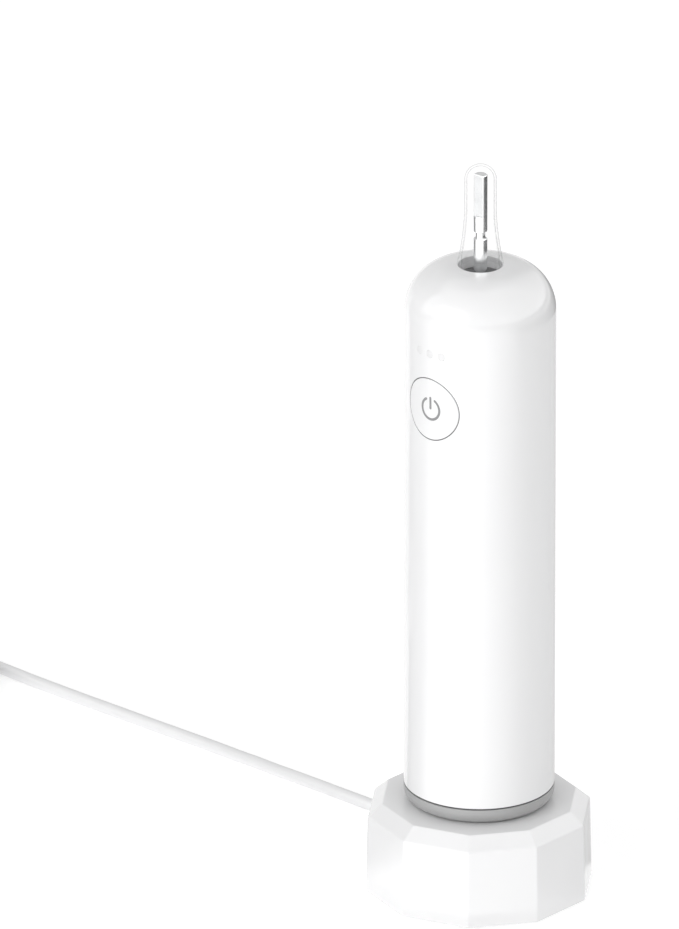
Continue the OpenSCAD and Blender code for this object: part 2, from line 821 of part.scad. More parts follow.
module light_windows() {
    color("white") on_dock() in_wall(0) at_lights()
        bar_y(0, light_z, inner_r / 2, handle_r + over, light_r);
}

// The button's cap follows the handle's curve; two hooks behind the wall hold it in.
module power_button() {
    hook_front = inner_r - loose;
    hook_back = hook_front - 0.9;
    hook_z0 = button_r - 1.6;
    color("white") on_dock() {
        difference() {
            intersection() {
                bar_y(0, button_z, inner_r / 2, handle_r + over, button_r);
                tube(handle_r, handle_r - button_t, button_z - button_d, button_z + button_d);
            }
            symbol_prism(fit / 2, symbol_depth + fit);
        }
        for (side = [-1, 1]) {
            z0 = side * hook_z0;
            z1 = side * (gasket_r + 0.9);
            block([-2, -hook_front, button_z + min(z0, z1)], [2, -hook_back, button_z + max(z0, z1)]);
            block([-2, -handle_r + button_t / 2, button_z + min(z0, side * (button_r - 0.6))],
                [2, -hook_back, button_z + max(z0, side * (button_r - 0.6))]);
        }
        bar_y(0, button_z, switch_front + plunger_out + fit, handle_r - button_t / 2, 1.5);
    }
}

// The power symbol's outline, widened by grow.
module symbol_outline(grow) {
    line = symbol_line + 2 * grow;
    opening = 30;
    difference() {
        circle(r = symbol_r + line / 2);
        circle(r = symbol_r - line / 2);
        polygon([[0, 0], [-2 * symbol_r * tan(opening), 2 * symbol_r], [2 * symbol_r * tan(opening), 2 * symbol_r]]);
    }
    translate([-line / 2, -grow]) square([line, symbol_r + symbol_line / 2 + 2 * grow]);
}

module symbol_prism(grow, depth) {
    intersection() {
        translate([0, 0, button_z]) rotate([90, 0, 0]) linear_extrude(handle_r + over) symbol_outline(grow);
        tube(handle_r + (grow > 0 ? over : 0), handle_r - depth, button_z - button_d, button_z + button_d);
    }
}

module power_symbol() {
    color("gray") on_dock() symbol_prism(0, symbol_depth);
}

// Pushed by the button into the switch.
module switch_plunger() {
    color("dimgray") on_dock()
        bar_y(0, button_z, switch_front - plunger_in, switch_front + plunger_out, plunger_r);
}

// ---------- inner frame, battery and boards ----------

// Cut out of one round bar: a trough behind the cell and the motor, open towards the board.
module chassis() {
    cradle_low = motor_z + cradle_inset;
    cradle_high = motor_top - cradle_inset - cradle_t;
    color("lightgray") on_dock() difference() {
        disc(chassis_r, frame_z, frame_top);
        trough(frame_z + chassis_wall, middle_z);
        trough(middle_z + bulkhead_t, cradle_low);
        cradle_hole(cradle_low, cradle_low + cradle_t);
        trough(cradle_low + cradle_t, cradle_high);
        cradle_hole(cradle_high, cradle_high + cradle_t);
        trough(cradle_high + cradle_t, upper_z);
        block([-handle_r, -handle_r, 0], [handle_r, -board_back + fit, handle_h]);
        block([-strip_w / 2 - pin_pitch - loose, -handle_r, 0],
            [strip_w / 2 + pin_pitch + loose, -board_back + strip_t + loose, middle_z - over]);
        disc(boss_r + loose, upper_z - over, frame_top + over);
        for (z = screw_zs) for (side = [-1, 1])
            bar_y(side * screw_x, z, board_back - screw_l, board_back + over, screw_r + fit);
    }
}

module trough(z0, z1) {
    translate([0, 0, z0]) linear_extrude(z1 - z0) {
        circle(r = chassis_r - chassis_wall);
        translate([-handle_r, -handle_r]) square([2 * handle_r, handle_r + battery_d / 4]);
    }
}

module cradle_hole(z0, z1) {
    translate([0, 0, z0]) linear_extrude(z1 - z0) {
        circle(r = motor_r + damper_t + fit);
        translate([-handle_r, -handle_r]) square([2 * handle_r, handle_r - motor_r / 2]);
    }
}

module chassis_screws() {
    color("silver") on_dock() for (z = screw_zs) for (side = [-1, 1]) {
        bar_y(side * screw_x, z, board_back - screw_l + loose, board_front + fit, screw_r);
        bar_y(side * screw_x, z, board_front + fit, board_front + fit + screw_head_h, screw_head_r);
    }
}

module battery_cell() {
    color("steelblue") on_dock() {
        disc(battery_d / 2, battery_z, battery_z + battery_h);
    }
}

// A nickel strip on each end of the cell, bent along the board's back.
module battery_tabs() {
    half = 2;
    bend = 3;
    ends = [[battery_z - tab_t - fit, 1], [battery_z + battery_h + fit, -1]];
    color("silver") on_dock() for (end = ends) {
        z = end[0];
        far = z + (end[1] > 0 ? bend : tab_t - bend);
        y0 = -board_back + 2 * fit + strip_t;
        x = end[1] > 0 ? board_half - 2 * half : -half;
        if (end[1] > 0)
            block([-half, -battery_d / 4, z], [half, half, z + tab_t]);
        else
            block([-half, y0, z], [half, half, z + tab_t]);
        if (end[1] < 0)
            block([x, y0, min(z, far)], [x + 2 * half, y0 + tab_t, max(z + tab_t, far)]);
    }
}

module handle_board() {
    color("seagreen") on_dock() difference() {
        block([-board_half, -board_front, board_z0], [board_half, -board_back, board_z1]);
        for (z = screw_zs) for (side = [-1, 1])
            bar_y(side * screw_x, z, board_back - over, board_front + over, screw_r + fit);
    }
}

// The controller and its small parts, on the board's front.
module handle_chips() {
    y0 = board_front + solder;
    middle = (board_z0 + middle_z) / 2;
    color("black") on_dock() {
        block([-3.5, -y0 - 1.2, middle - 3.5], [3.5, -y0, middle + 3.5]);
        for (i = [0:3]) block([-4 + 2.2 * i, -y0 - 0.6, middle + 8], [-3 + 2.2 * i, -y0, middle + 9.8]);
        block([-4, -y0 - 1, middle - 14], [0, -y0, middle - 10]);
        block([1.5, -y0 - 0.8, middle - 13], [3.7, -y0, middle - 10.5]);
    }
}

module tact_switch() {
    half = switch_w / 2;
    color("dimgray") on_dock() difference() {
        block([-half, -switch_front, button_z - half], [half, -board_front - solder, button_z + half]);
        bar_y(0, button_z, switch_front - plunger_in - button_travel - fit, switch_front + over,
            plunger_r + running);
    }
}

function light_x(i) = light_pitch() * (i - (light_count - 1) / 2);
function light_pitch() = handle_r * sin(light_angle);

module indicator_leds() {
    half = 0.5;
    color("ivory") on_dock() for (i = [0:light_count - 1])
        block([light_x(i) - half, -board_front - solder - 0.6, light_z - half],
            [light_x(i) + half, -board_front - solder, light_z + half]);
}

// Clear bars that carry the light to the windows, joined by a bridge.
module light_guide() {
    back = board_front + solder + 0.8;
    last_x = light_x(light_count - 1);
    color("aliceblue") on_dock() {
        intersection() {
            for (i = [0:light_count - 1]) bar_y(light_x(i), light_z, back, handle_r, light_r - 0.1);
            disc(inner_r - 0.2, light_z - light_d, light_z + light_d);
        }
        block([-last_x - 0.6, -back - 1.2, light_z - 0.5], [last_x + 0.6, -back, light_z + 0.5]);
        for (side = [-1, 1]) block([side * (last_x + 1) - 0.4, -back - 1.2, light_z - 0.5],
            [side * (last_x + 1) + 0.4, -board_front - fit, light_z + 0.5]);
    }
}

// ---------- motor ----------

module motor_can() {
    color("silver") on_dock() difference() {
        union() {
            disc(motor_r, motor_z, motor_top);
            disc(boss_r, motor_top - over, motor_top + boss_h);
        }
        disc(can_inner_r, motor_z - over, motor_top - motor_end_t);
        disc(bearing_r + fit, motor_top - motor_end_t - over, motor_top + boss_h + over);
    }
}

module motor_base() {
    color("gainsboro") on_dock() difference() {
        union() {
            disc(can_inner_r - fit, motor_z, motor_z + motor_end_t);
            disc(boss_r, motor_z, motor_z + bearing_h);
        }
        disc(bearing_r + fit, motor_z - over, motor_z + bearing_h + over);
    }
}

module motor_dampers() {
    color("black") on_dock() for (z = [motor_z + cradle_inset, motor_top - cradle_inset - cradle_t])
        tube(motor_r + damper_t, motor_r + fit, z, z + cradle_t);
}

// A ring with two poles that face the rotor.
module stator_yoke() {
    z0 = rotor_z - pole_h / 2;
    z1 = rotor_z + pole_h / 2;
    color("slategray") on_dock() {
        tube(yoke_r, yoke_inner_r, z0, z1);
        difference() {
            intersection() {
                disc(yoke_inner_r + fit, z0, z1);
                block([-yoke_r, -pole_half, z0], [yoke_r, pole_half, z1]);
            }
            disc(pole_r, z0 - over, z1 + over);
        }
    }
}

// A rectangular winding round each pole.
module coil_windings() {
    hole_y = pole_half + fit;
    hole_z = pole_h / 2 + fit;
    y1 = hole_y + wire_t;
    z1 = hole_z + wire_t;
    x0 = pole_r + fit;
    x1 = sqrt(pow(yoke_inner_r, 2) - pow(y1, 2)) - fit;
    color("chocolate") on_dock() translate([0, 0, rotor_z]) for (side = [0, 180]) rotate(side) difference() {
        block([x0, -y1, -z1], [x1, y1, z1]);
        block([x0 - over, -hole_y, -hole_z], [x1 + over, hole_y, hole_z]);
    }
}

module centring_spring() {
    color("silver") on_dock()
        wire_spring(centring_r, coil_wire, 4, spring_z, spring_z + spring_h, 14);
}

module bearing(z) {
    tube(bearing_r, shaft_r + running, z, z + bearing_h);
}

module upper_bearing() {
    color("goldenrod") on_dock() bearing(motor_top + boss_h - bearing_h);
}

module lower_bearing() {
    color("goldenrod") on_dock() bearing(motor_z);
}

// Rubber lip that closes the recess round the shaft.
module shaft_seal() {
    rim = handle_h - recess_depth;
    bottom = handle_h - neck_h + 1 + 2 * fit + 1.2;
    color("dimgray") on_dock() rotate_extrude()
        polygon([[shaft_r + running, bottom], [recess_r - fit, bottom], [recess_r - fit, rim],
            [recess_r - 0.9, rim], [shaft_r + 0.9, rim - 0.9], [shaft_r + 0.7, rim - 0.1],
            [shaft_r + running, rim - 0.1]]);
}

module seal_retainer() {
    z0 = handle_h - neck_h + 1 + fit;
    color("gray") on_dock() tube(recess_r - fit, shaft_r + loose, z0, z0 + 1.2);
}

// ---------- what swings with the shaft ----------

module drive_shaft() {
    groove_z = handle_h + shaft_round_h;
    drip_z = handle_h - drip_drop;
    tip = handle_h + shaft_out;
    chamfer = 0.3;
    color("silver") on_dock() difference() {
        union() {
            disc(shaft_r, shaft_z0, tip - chamfer);
            translate([0, 0, tip - chamfer]) cylinder(r1 = shaft_r, r2 = shaft_r - chamfer, h = chamfer);
        }
        tube(shaft_r + over, groove_d / 2, groove_z, groove_z + groove_w);
        tube(shaft_r + over, drip_d / 2, drip_z - drip_w, drip_z);
        block([-handle_r, -handle_r, tip - flat_h], [handle_r, -flat_offset, tip + over]);
    }
}

module rotor_core() {
    color("slategray") on_dock()
        tube(rotor_core_r, shaft_r + fit / 2, rotor_z - rotor_h / 2, rotor_z + rotor_h / 2);
}

// Four curved magnets with a gap between neighbours.
module rotor_magnets() {
    z0 = rotor_z - rotor_h / 2;
    z1 = rotor_z + rotor_h / 2;
    gap = 0.6;
    color("darkslategray") on_dock() difference() {
        tube(rotor_r, rotor_core_r + fit / 2, z0, z1);
        for (angle = [45, 135]) rotate(angle)
            block([-rotor_r - over, -gap / 2, z0 - over], [rotor_r + over, gap / 2, z1 + over]);
    }
}

// ---------- clear travel cap ----------

function cap_flare_r(z) = clear_cap_slim_r
    + (clear_cap_foot_r - clear_cap_slim_r) * pow(max(0, 1 - z / clear_cap_flare_h), 1.55);

module shaft_cap() {
    wall = clear_cap_wall;
    dome_r = clear_cap_slim_r;
    dome_z = clear_cap_h - dome_r;
    plug_r = recess_r - 2 * running;
    flare = [for (i = [0:10]) clear_cap_flare_h * i / 10];
    outer = [for (z = flare) [cap_flare_r(z), z]];
    inner = [for (i = [10:-1:0]) [min(cap_flare_r(flare[i]) - wall, plug_r - wall), flare[i]]];
    color("white", 0.35) on_dock() translate([0, 0, handle_h + seat]) rotate_extrude() {
        polygon(concat(outer, inner));
        translate([clear_cap_slim_r - wall, clear_cap_flare_h - fit])
            square([wall, dome_z - clear_cap_flare_h + fit]);
        intersection() {
            translate([0, dome_z]) difference() {
                circle(r = dome_r);
                circle(r = dome_r - wall);
            }
            translate([0, dome_z]) square([dome_r, dome_r]);
        }
        translate([plug_r - wall, -clear_cap_plug_h]) square([wall, clear_cap_plug_h + fit]);
    }
}

charger_cover();
base_plate();
foot_pad();
base_screws();
ballast_plate();
charger_board();
charger_chips();
pin_housing();
pin_barrels();
pin_spring(pin_xs[0]);  // pin_spring_1
pin_spring(pin_xs[1]);  // pin_spring_2
pin_spring(pin_xs[2]);  // pin_spring_3
contact_pin(pin_xs[0]);  // contact_pin_1
contact_pin(pin_xs[1]);  // contact_pin_2
contact_pin(pin_xs[2]);  // contact_pin_3
base_magnets();
cord_grommet();
lead_wires();
cord();
cord_coil();
cord_tie();
plug_grip();
plug_shell();
plug_tongue();
end_cap();
end_cap_seal();
contact_block();
contact_plates();
contact_leads();
handle_magnets();
handle_shell();
chassis();
chassis_screws();
battery_cell();
battery_tabs();
handle_board();
handle_chips();
tact_switch();
indicator_leds();
light_guide();
light_windows();
button_gasket();
power_button();
power_symbol();
switch_plunger();
motor_can();
motor_base();
motor_dampers();
stator_yoke();
coil_windings();
centring_spring();
upper_bearing();
lower_bearing();
shaft_seal();
seal_retainer();
drive_shaft();
rotor_core();
rotor_magnets();
shaft_cap();
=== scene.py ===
"""Dresses an electric toothbrush handle, its ten-sided charging base and its USB lead.

Everything is in metres in the part's own frame: the rubber foot stands on z = 0, +Z is up, the
power button faces -Y and the lead leaves towards -X. Places come from the boxes of the part's own
nodes. What a box can't say is a named field of the class that uses it. In a profile's corner, the
third number is the radius of its rounding.
"""

from __future__ import annotations

import json
import logging
import math
from dataclasses import dataclass, field
from enum import Enum
from typing import Callable, Sequence

import bpy
import numpy as np
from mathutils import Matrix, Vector

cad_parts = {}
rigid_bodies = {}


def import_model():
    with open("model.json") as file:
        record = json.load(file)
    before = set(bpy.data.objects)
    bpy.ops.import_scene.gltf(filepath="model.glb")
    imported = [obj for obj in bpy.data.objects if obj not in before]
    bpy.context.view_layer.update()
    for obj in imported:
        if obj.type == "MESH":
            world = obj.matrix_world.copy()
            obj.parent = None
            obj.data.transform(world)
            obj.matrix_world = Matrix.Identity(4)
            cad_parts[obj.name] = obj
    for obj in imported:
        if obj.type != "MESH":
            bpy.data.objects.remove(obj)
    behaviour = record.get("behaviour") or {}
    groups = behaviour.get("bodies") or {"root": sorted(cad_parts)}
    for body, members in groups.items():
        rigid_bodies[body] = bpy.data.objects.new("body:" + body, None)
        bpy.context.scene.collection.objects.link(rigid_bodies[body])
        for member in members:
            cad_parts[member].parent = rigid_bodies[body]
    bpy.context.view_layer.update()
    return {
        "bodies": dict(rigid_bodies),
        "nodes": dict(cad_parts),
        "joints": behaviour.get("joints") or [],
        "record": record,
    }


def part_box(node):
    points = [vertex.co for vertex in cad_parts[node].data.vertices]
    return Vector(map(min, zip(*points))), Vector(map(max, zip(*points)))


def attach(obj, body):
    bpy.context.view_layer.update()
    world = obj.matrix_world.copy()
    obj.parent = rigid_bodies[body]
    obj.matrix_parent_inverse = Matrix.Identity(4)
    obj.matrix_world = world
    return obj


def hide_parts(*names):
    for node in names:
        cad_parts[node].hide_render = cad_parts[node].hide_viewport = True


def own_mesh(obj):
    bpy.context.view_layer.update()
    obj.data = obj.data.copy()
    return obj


log = logging.getLogger("toothbrush")

MM = 0.001
WELD = 2e-7
PAD_POWER = 2.9
UP = np.array([0.0, 0.0, 1.0])

Reach = Callable[[float, np.ndarray], np.ndarray]


# ---------- shapes: outlines, grids and what is made from them ----------


def unit(vectors: np.ndarray) -> np.ndarray:
    """Scales each vector of an array to length one."""
    length = np.linalg.norm(vectors, axis=-1, keepdims=True)
    return vectors / np.maximum(length, 1e-15)


def smoothstep(share: np.ndarray) -> np.ndarray:
    """Eases a share from 0 to 1: 3 s^2 - 2 s^3."""
    s = np.clip(share, 0, 1)
    return s * s * (3 - 2 * s)


@dataclass
class Outline:
    """A line in a plane, with the outward normal at each of its points."""

    points: np.ndarray
    normals: np.ndarray

    @classmethod
    def through(cls, points: np.ndarray) -> Outline:
        """Makes an outline through points, its normals to the right of the line's direction.

        Args:
            points: n points of the line, in order.

        Returns:
            The outline, with the normal (ty, -tx) where the tangent is (tx, ty).
        """
        tangent = unit(np.gradient(points, axis=0))
        return cls(points, np.stack([tangent[:, 1], -tangent[:, 0]], axis=1))

    def plus(self, other: Outline) -> Outline:
        """Joins another outline to the end of this one."""
        return Outline(np.concatenate([self.points, other.points]),
                       np.concatenate([self.normals, other.normals]))


def rounded(corners: Sequence[Sequence[float]], closed: bool = True, step: float = 12.0) -> Outline:
    """Rounds the corners of a polygon with arcs.

    Where the line turns by t, an arc of the corner's radius r touches both sides r * tan(t / 2)
    away from the corner. Outward is to the right of the line's direction.

    Args:
        corners: (x, y, radius) of each corner, in order.
        closed: whether the last corner leads back to the first.
        step: largest angle between two points of an arc, in degrees.

    Returns:
        The rounded outline.
    """
    marks = np.array(corners, float)
    spots, radii = marks[:, :2], marks[:, 2]
    ahead = unit(np.roll(spots, -1, axis=0) - spots)
    behind = np.roll(ahead, 1, axis=0)
    if not closed:
        ahead[-1] = behind[-1]
        behind[0] = ahead[0]
    points, normals = [], []
    for spot, radius, before, after in zip(spots, radii, behind, ahead):
        turn = math.atan2(before[0] * after[1] - before[1] * after[0], before @ after)
        straight = abs(turn) < 1e-9
        steps = 0 if straight else (math.ceil(math.degrees(abs(turn)) / step) if radius > 0 else 1)
        angle = turn * np.linspace(0, 1, steps + 1)
        right = np.array([before[1], -before[0]])
        fan = np.stack([right[0] * np.cos(angle) - right[1] * np.sin(angle),
                        right[0] * np.sin(angle) + right[1] * np.cos(angle)], axis=1)
        bend = math.copysign(radius, turn)
        touch = 0.0 if straight else radius * math.tan(abs(turn) / 2)
        points.append(spot - before * touch - bend * right + bend * fan)
        normals.append(fan)
    return Outline(np.concatenate(points), np.concatenate(normals))


def weld(points: np.ndarray) -> tuple[np.ndarray, np.ndarray]:
    """Finds which points share a place.

    Args:
        points: n places in space.

    Returns:
        The index of one point for each place, and the place of each point.
    """
    keys = np.floor(points / WELD + 0.317).astype(np.int64)
    _, first, place = np.unique(keys, axis=0, return_index=True, return_inverse=True)
    return first, place.reshape(-1)


@dataclass
class Surface:
    """Points, their normals, and the four-cornered faces between them."""

    points: np.ndarray
    faces: np.ndarray
    normals: np.ndarray

    @classmethod
    def smooth(cls, points: np.ndarray, faces: np.ndarray) -> Surface:
        """Makes a surface whose normal at a point is the sum of its faces' area vectors.

        Args:
            points: the surface's points.
            faces: four indices for each face.

        Returns:
            The surface.
        """
        corner = points[faces]
        area = np.cross(corner[:, 2] - corner[:, 0], corner[:, 3] - corner[:, 1])
        _, place = weld(points)
        total = np.zeros((place.max() + 1, 3))
        for k in range(4):
            np.add.at(total, place[faces[:, k]], area)
        return cls(points, faces, unit(total)[place])

    def moved(self, basis: Sequence[Sequence[float]], origin: Sequence[float] = (0, 0, 0)) -> Surface:
        """Carries the surface to another frame.

        Args:
            basis: where the x, y and z directions go, as three unit vectors.
            origin: where the origin goes.

        Returns:
            The moved surface: x * basis[0] + y * basis[1] + z * basis[2] + origin.
        """
        frame = np.array(basis, float)
        return Surface(self.points @ frame + np.array(origin, float), self.faces, self.normals @ frame)

    def shifted(self, *offset: float) -> Surface:
        """Moves the surface by (x, y, z)."""
        return Surface(self.points + np.array(offset), self.faces, self.normals)

    def outward(self) -> Surface:
        """Turns a closed surface right side out: its volume, a sum of p0.(p1 x p2) / 6, is positive."""
        p = self.points[self.faces]
        volume = (np.einsum("ij,ij->i", p[:, 0], np.cross(p[:, 1], p[:, 2])).sum()
                  + np.einsum("ij,ij->i", p[:, 0], np.cross(p[:, 2], p[:, 3])).sum())
        if volume > 0:
            return self
        return Surface(self.points, self.faces[:, ::-1], -self.normals)


def joined(*surfaces: Surface) -> Surface:
    """Puts several surfaces into one."""
    starts = np.cumsum([0] + [len(s.points) for s in surfaces[:-1]])
    return Surface(np.concatenate([s.points for s in surfaces]),
                   np.concatenate([s.faces + start for s, start in zip(surfaces, starts)]),
                   np.concatenate([s.normals for s in surfaces]))


def grid(points: np.ndarray, normals: np.ndarray | None = None, wrap_rows: bool = False,
         wrap_columns: bool = True, keep: np.ndarray | None = None) -> Surface:
    """Makes a surface from a grid of points.

    Args:
        points: rows x columns x 3 places.
        normals: rows x columns x 3 normals, or None to average them from the faces.
        wrap_rows: whether the last row joins the first.
        wrap_columns: whether the last column joins the first.
        keep: which cells get a face, or None for all.

    Returns:
        The surface. A face looks along (its step to the next column) x (its step to the next row).
    """
    rows, columns = points.shape[:2]
    index = np.arange(rows * columns).reshape(rows, columns)
    if wrap_columns:
        index = np.concatenate([index, index[:, :1]], axis=1)
    if wrap_rows:
        index = np.concatenate([index, index[:1]], axis=0)
    cells = np.stack([index[:-1, :-1], index[:-1, 1:], index[1:, 1:], index[1:, :-1]], axis=-1)
    faces = cells.reshape(-1, 4) if keep is None else cells[keep]
    if normals is None:
        return Surface.smooth(points.reshape(-1, 3), faces)
    return Surface(points.reshape(-1, 3), faces, normals.reshape(-1, 3))


def capped(rings: np.ndarray, first: Sequence[float], last: Sequence[float]) -> Surface:
    """Closes a stack of rings with a point at each end.

    Args:
        rings: rings x points x 3 places.
        first: the point before the first ring.
        last: the point after the last ring.

    Returns:
        The closed surface, right side out.
    """
    tips = [np.broadcast_to(tip, (1, rings.shape[1], 3)) for tip in (first, last)]
    return grid(np.concatenate([tips[0], rings, tips[1]])).outward()


def circle_angles(count: int, start: float = 0.0) -> np.ndarray:
    """Angles of count equal steps round a circle."""
    return start + 2 * math.pi * np.arange(count) / count


def polar(r: np.ndarray | float, angle: np.ndarray, z: np.ndarray | float) -> np.ndarray:
    """Places in space from distances and angles about Z: (r cos a, r sin a, z)."""
    return np.stack(np.broadcast_arrays(r * np.cos(angle), r * np.sin(angle), z), axis=-1)


def turned(line: Outline, segments: int = 96, closed: bool = True, start: float = 0.0,
           keep: np.ndarray | None = None) -> Surface:
    """Turns a profile about Z: (r, z) goes to (r cos a, r sin a, z).

    Args:
        line: the profile, counter-clockwise in the (r, z) plane.
        segments: steps round the axis.
        closed: whether the profile's end joins its start. If not, both ends lie on the axis.
        start: the first column's angle.
        keep: which cells get a face, or None for all.

    Returns:
        The turned surface.
    """
    angle = circle_angles(segments, start)
    points, normals = (polar(pairs[:, :1], angle, pairs[:, 1:]) for pairs in (line.points, line.normals))
    return grid(points, normals, wrap_rows=closed, keep=keep)


def lathed(corners: Sequence[Sequence[float]], step: float, segments: int, closed: bool = False) -> Surface:
    """Turns a rounded profile about Z.

    Args:
        corners: (r, z, radius) of each corner of the profile, counter-clockwise.
        step: largest angle between two points of a rounding, in degrees.
        segments: steps round the axis.
        closed: whether the profile's end joins its start. If not, both ends lie on the axis.

    Returns:
        The turned surface.
    """
    return turned(rounded(corners, closed, step), segments, closed)


def ring_stack(angles: np.ndarray, parts: Sequence[tuple[Reach, Outline]]) -> Surface:
    """Closes a loop of rings about Z, each ring's distance from the axis a function of the angle.

    A part's outline holds (size, z) pairs, and its rings lie at reach(size, a) from the axis.

    Args:
        angles: the angles that every ring has a point at.
        parts: the reach function and the outline of each stretch, counter-clockwise in (r, z).

    Returns:
        The closed surface.
    """
    rings = [polar(reach(size, angles), angles, z) for reach, line in parts for size, z in line.points]
    return grid(np.array(rings), wrap_rows=True)


def round_reach(size: float, angles: np.ndarray) -> np.ndarray:
    """A circle of radius size."""
    return np.full_like(angles, size)


def tube(path: np.ndarray, radius: float, sides: int = 16) -> Surface:
    """Carries a circle along a path that is nowhere upright, and closes both ends.

    At path point p with direction d, side = z x d and up = d x side; the ring is
    p + r (cos a side + sin a up). The path's first and last point close the ends.

    Args:
        path: n points along the path.
        radius: the tube's radius.
        sides: points round the tube.

    Returns:
        The closed tube.
    """
    heading = unit(np.gradient(path, axis=0))
    side = unit(np.cross(UP, heading))
    up = np.cross(heading, side)
    angle = circle_angles(sides)
    out = np.cos(angle)[None, :, None] * side[:, None] + np.sin(angle)[None, :, None] * up[:, None]
    return capped(path[:, None] + radius * out, path[0], path[-1])


def catmull_rom(points: np.ndarray, between: int) -> np.ndarray:
    """Draws a smooth curve through points.

    On the stretch from b to c, with a before and d after,
    p(t) = (2b + (c - a) t + (2a - 5b + 4c - d) t^2 + (3b - a - 3c + d) t^3) / 2.

    Args:
        points: the points that the curve goes through.
        between: how many steps lie between two of them.

    Returns:
        The points of the curve.
    """
    a = np.concatenate([points[:1], points[:-2]])
    b, c = points[:-1], points[1:]
    d = np.concatenate([points[2:], points[-1:]])
    t = (np.arange(between) / between)[None, :, None]
    a, b, c, d = (p[:, None] for p in (a, b, c, d))
    curve = (2 * b + (c - a) * t + (2 * a - 5 * b + 4 * c - d) * t**2 + (3 * b - a - 3 * c + d) * t**3) / 2
    return np.concatenate([curve.reshape(-1, 3), points[-1:]])


def path_length(path: np.ndarray) -> float:
    """Length of a line through points."""
    return float(np.linalg.norm(np.diff(path, axis=0), axis=1).sum())


def slab(low: Sequence[float], high: Sequence[float], edge: float) -> Surface:
    """A block with rounded edges: rings of a rounded rectangle, stacked along Z.

    Args:
        low: the block's lowest corner.
        high: the block's highest corner.
        edge: radius of its edges.

    Returns:
        The closed surface.
    """
    low, high = np.array(low, float), np.array(high, float)
    centre, half = (low + high) / 2, (high - low) / 2
    edge = min(edge, float(half.min()) * 0.9)
    quarter = np.radians([0, 30, 60, 90])
    inset = np.concatenate([edge * (1 - np.sin(quarter)), edge * (1 - np.cos(quarter))])
    level = np.concatenate([-half[2] + edge * (1 - np.cos(quarter)), half[2] - edge * (1 - np.sin(quarter))])
    rings = []
    for shrink, z in zip(inset, level):
        w, d = half[0] - shrink, half[1] - shrink
        r = max(edge - shrink, 0.02 * edge)
        line = rounded([(-w, -d, r), (w, -d, r), (w, d, r), (-w, d, r)], step=30)
        rings.append(np.column_stack([line.points, np.full(len(line.points), z)]))
    return capped(np.array(rings), (0, 0, -half[2]), (0, 0, half[2])).shifted(*centre)


def make_object(name: str, surface: Surface, material: bpy.types.Material) -> bpy.types.Object:
    """Makes a Blender object from a surface, its shared points welded and its normals kept.

    Args:
        name: the object's name.
        surface: the surface.
        material: its finish.

    Returns:
        The object, at the origin.
    """
    first, place = weld(surface.points)
    faces = place[surface.faces]
    distinct = faces != np.roll(faces, 1, axis=1)
    whole = distinct.sum(axis=1) >= 3
    distinct = distinct[whole]
    corners = faces[whole][distinct]
    normals = surface.normals[surface.faces[whole][distinct]]
    counts = distinct.sum(axis=1)
    mesh = bpy.data.meshes.new(name)
    mesh.vertices.add(len(first))
    mesh.vertices.foreach_set("co", surface.points[first].astype(np.float32).ravel())
    mesh.loops.add(len(corners))
    mesh.loops.foreach_set("vertex_index", corners.astype(np.int32))
    mesh.polygons.add(len(counts))
    mesh.polygons.foreach_set("loop_start", (np.cumsum(counts) - counts).astype(np.int32))
    mesh.polygons.foreach_set("use_smooth", np.ones(len(counts), bool))
    mesh.update(calc_edges=True)
    mesh.validate()
    if len(mesh.loops) == len(normals):
        mesh.normals_split_custom_set(normals.tolist())
    mesh.materials.append(material)
    made = bpy.data.objects.new(name, mesh)
    bpy.context.scene.collection.objects.link(made)
    return made


# ---------- the frame: where the part's own nodes are ----------


@dataclass(frozen=True)
class Span:
    """The box of one or more nodes at rest."""

    low: np.ndarray
    high: np.ndarray

    @classmethod
    def of(cls, *nodes: str) -> Span:
        """Reads the box that holds these nodes."""
        corners = [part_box(node) for node in nodes]
        return cls(np.min([np.array(c[0]) for c in corners], axis=0),
                   np.max([np.array(c[1]) for c in corners], axis=0))

    @property
    def centre(self) -> np.ndarray:
        """The middle of the box."""
        return (self.low + self.high) / 2

    @property
    def size(self) -> np.ndarray:
        """The box's three sides."""
        return self.high - self.low


def settle(piece: bpy.types.Object, body: str, slot: str, *nodes: str) -> bpy.types.Object:
    """Makes a finished piece ride on its body and stand for its nodes.

    Args:
        piece: the finished piece.
        body: the body that it moves with.
        slot: not used.
        nodes: the nodes that it stands for.

    Returns:
        The piece.
    """
    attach(piece, body)
    if nodes:
        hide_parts(*nodes)
    log.info("%s: %d faces, on %s", piece.name, len(piece.data.polygons), body)
    return piece


# ---------- finishes ----------


Colour = tuple[float, float, float]


